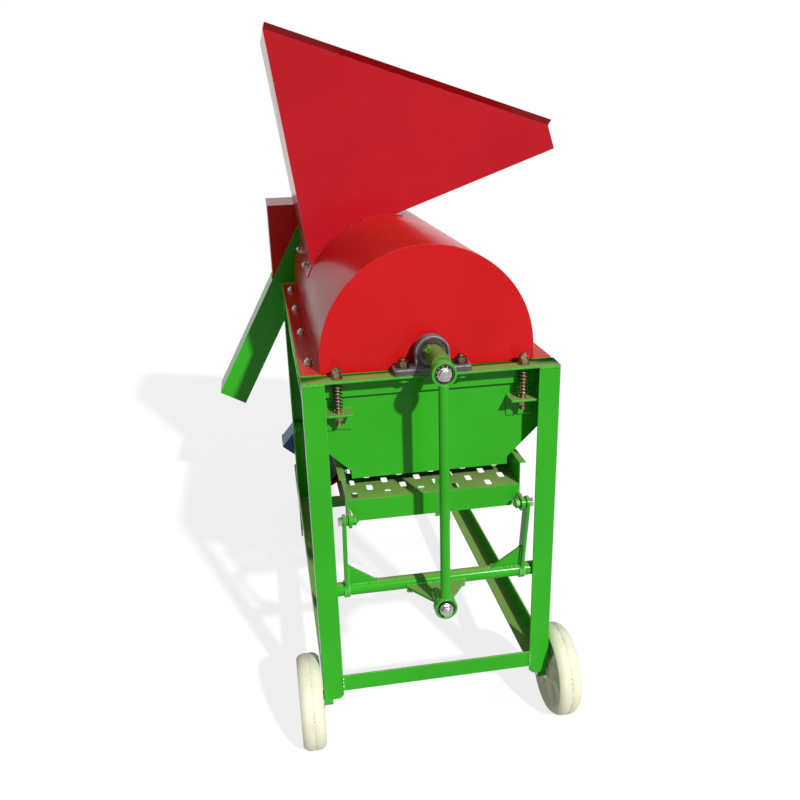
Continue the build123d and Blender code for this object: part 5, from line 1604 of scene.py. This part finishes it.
@dataclass
class Studio:
    """Floor, lamp, white surroundings and the camera."""

    camera_from_leg: Point = (-0.28166, -1.34004, 1.21139)
    camera_pitch: float = -20.96
    camera_yaw: float = -8.79
    camera_roll: float = 1.84
    lens: float = 36.74
    shift: tuple[float, float] = (0.0077, 0.0274)
    clip_end: float = 100.0
    light_way: Point = (0.263, -0.74, 0.533)
    key_strength: float = 3.1
    key_spread: float = 2.0
    key_colour: Colour = (1.0, 0.985, 0.96)
    fill: float = 0.26
    fill_colour: Colour = (0.94, 0.97, 1.0)
    floor_half: float = 30.0
    floor_tone: float = 0.28
    floor_glow: float = 0.80

    def build(self) -> None:
        """Set up everything round the machine."""
        self.add_camera()
        self.add_key()
        self.add_surroundings()
        self.add_floor()
        bpy.context.scene.view_settings.view_transform = "Standard"

    def add_camera(self) -> None:
        """Stand the camera where the photograph was taken from."""
        data = bpy.data.cameras.new("camera")
        data.lens = self.lens
        data.shift_x, data.shift_y = self.shift
        data.clip_end = self.clip_end
        camera = bpy.data.objects.new("camera", data)
        bpy.context.scene.collection.objects.link(camera)
        legs = Box.of("front_legs")
        place = Vector((legs.middle.x, legs.low.y, 0.0)) + Vector(self.camera_from_leg)
        turn = (Matrix.Rotation(math.radians(self.camera_yaw), 4, "Z")
                @ Matrix.Rotation(math.radians(self.camera_pitch), 4, "X")
                @ Matrix.Rotation(math.radians(self.camera_roll), 4, "Y"))
        level = Matrix.Rotation(math.radians(90.0), 4, "X")
        camera.matrix_world = Matrix.Translation(place) @ turn @ level
        bpy.context.scene.camera = camera

    def add_key(self) -> None:
        """Light the machine from the front right, above."""
        data = bpy.data.lights.new("key", "SUN")
        data.energy = self.key_strength
        data.angle = math.radians(self.key_spread)
        data.color = self.key_colour
        lamp = bpy.data.objects.new("key", data)
        bpy.context.scene.collection.objects.link(lamp)
        lamp.rotation_mode = "QUATERNION"
        lamp.rotation_quaternion = Vector(self.light_way).to_track_quat("Z", "Y")

    def seen(self, graph: Graph) -> Socket:
        """1 for rays that come straight, off gloss or through glass from the camera.

        Args:
            graph: the graph that asks.

        Returns:
            The number's socket.
        """
        path = graph.add("ShaderNodeLightPath")
        direct = graph.math("MAXIMUM", path.outputs["Is Camera Ray"], path.outputs["Is Transmission Ray"])
        return graph.math("MAXIMUM", direct, path.outputs["Is Glossy Ray"])

    def add_surroundings(self) -> None:
        """Even pale light from all round, seen as white."""
        world = bpy.data.worlds.new("surroundings")
        bpy.context.scene.world = world
        world.use_nodes = True
        world.node_tree.nodes.clear()
        graph = Graph(world.node_tree)
        light = graph.add("ShaderNodeBackground", Strength=self.fill, Color=self.fill_colour)
        white = graph.add("ShaderNodeBackground", Strength=1.0, Color=(1.0, 1.0, 1.0))
        choice = graph.add("ShaderNodeMixShader")
        for index, socket in enumerate((self.seen(graph), light.outputs[0], white.outputs[0])):
            graph.feed(choice, index, socket)
        graph.add("ShaderNodeOutputWorld", Surface=choice.outputs[0])

    def add_floor(self) -> None:
        """Pale floor that keeps the shadow."""
        bpy.ops.object.select_all(action="DESELECT")
        bpy.ops.mesh.primitive_plane_add(size=self.floor_half * 2)
        floor = bpy.context.active_object
        floor.name = "floor"
        material = bpy.data.materials.new("floor_white")
        material.use_nodes = True
        material.node_tree.nodes.clear()
        graph = Graph(material.node_tree)
        matt = graph.add("ShaderNodeBsdfDiffuse", Color=(self.floor_tone,) * 3)
        strength = graph.math("MULTIPLY", self.seen(graph), self.floor_glow)
        glow = graph.add("ShaderNodeEmission", Strength=strength)
        both = graph.add("ShaderNodeAddShader")
        graph.feed(both, 0, matt.outputs[0])
        graph.feed(both, 1, glow.outputs[0])
        graph.add("ShaderNodeOutputMaterial", Surface=both.outputs[0])
        floor.data.materials.append(material)


ANGLE_IRON = ("front_legs", "rear_legs", "top_rails", "bottom_rails", "motor_mount", "spring_brackets")
ANGLE_EDGE = 1.3 * MM
CASTINGS = ("motor_body", "driven_pulley", "motor_pulley")
CAST_EDGE = 1.0 * MM
HOPPER = ("hopper_end_walls", "hopper_left_wall", "hopper_tray", "hopper_saddle")
SHEET_EDGE = 0.6 * MM


def main() -> None:
    """Load the frame, dress it and set up the studio."""
    logging.basicConfig(level=logging.INFO, format="%(message)s")
    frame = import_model()
    shop = Workshop(frame)
    for node, way in (("wheel_left", LEFT), ("wheel_right", RIGHT)):
        Wheel(shop, node, way).build()
    for assembly in (Springs, Bearings, RodEnds, CrankHub, Fastenings, Welds, MotorTrim):
        assembly(shop).build()
    EdgedNodes(shop, ANGLE_EDGE, ANGLE_IRON).build()
    EdgedNodes(shop, CAST_EDGE, CASTINGS).build()
    EdgedNodes(shop, SHEET_EDGE, HOPPER, Finish.CRIMSON_PAINT).build()
    rest = tuple(name for name, node in frame["nodes"].items() if not node.hide_render)
    EdgedNodes(shop, SHEET_EDGE, rest).build()
    Studio().build()


if __name__ == "__main__":
    main()
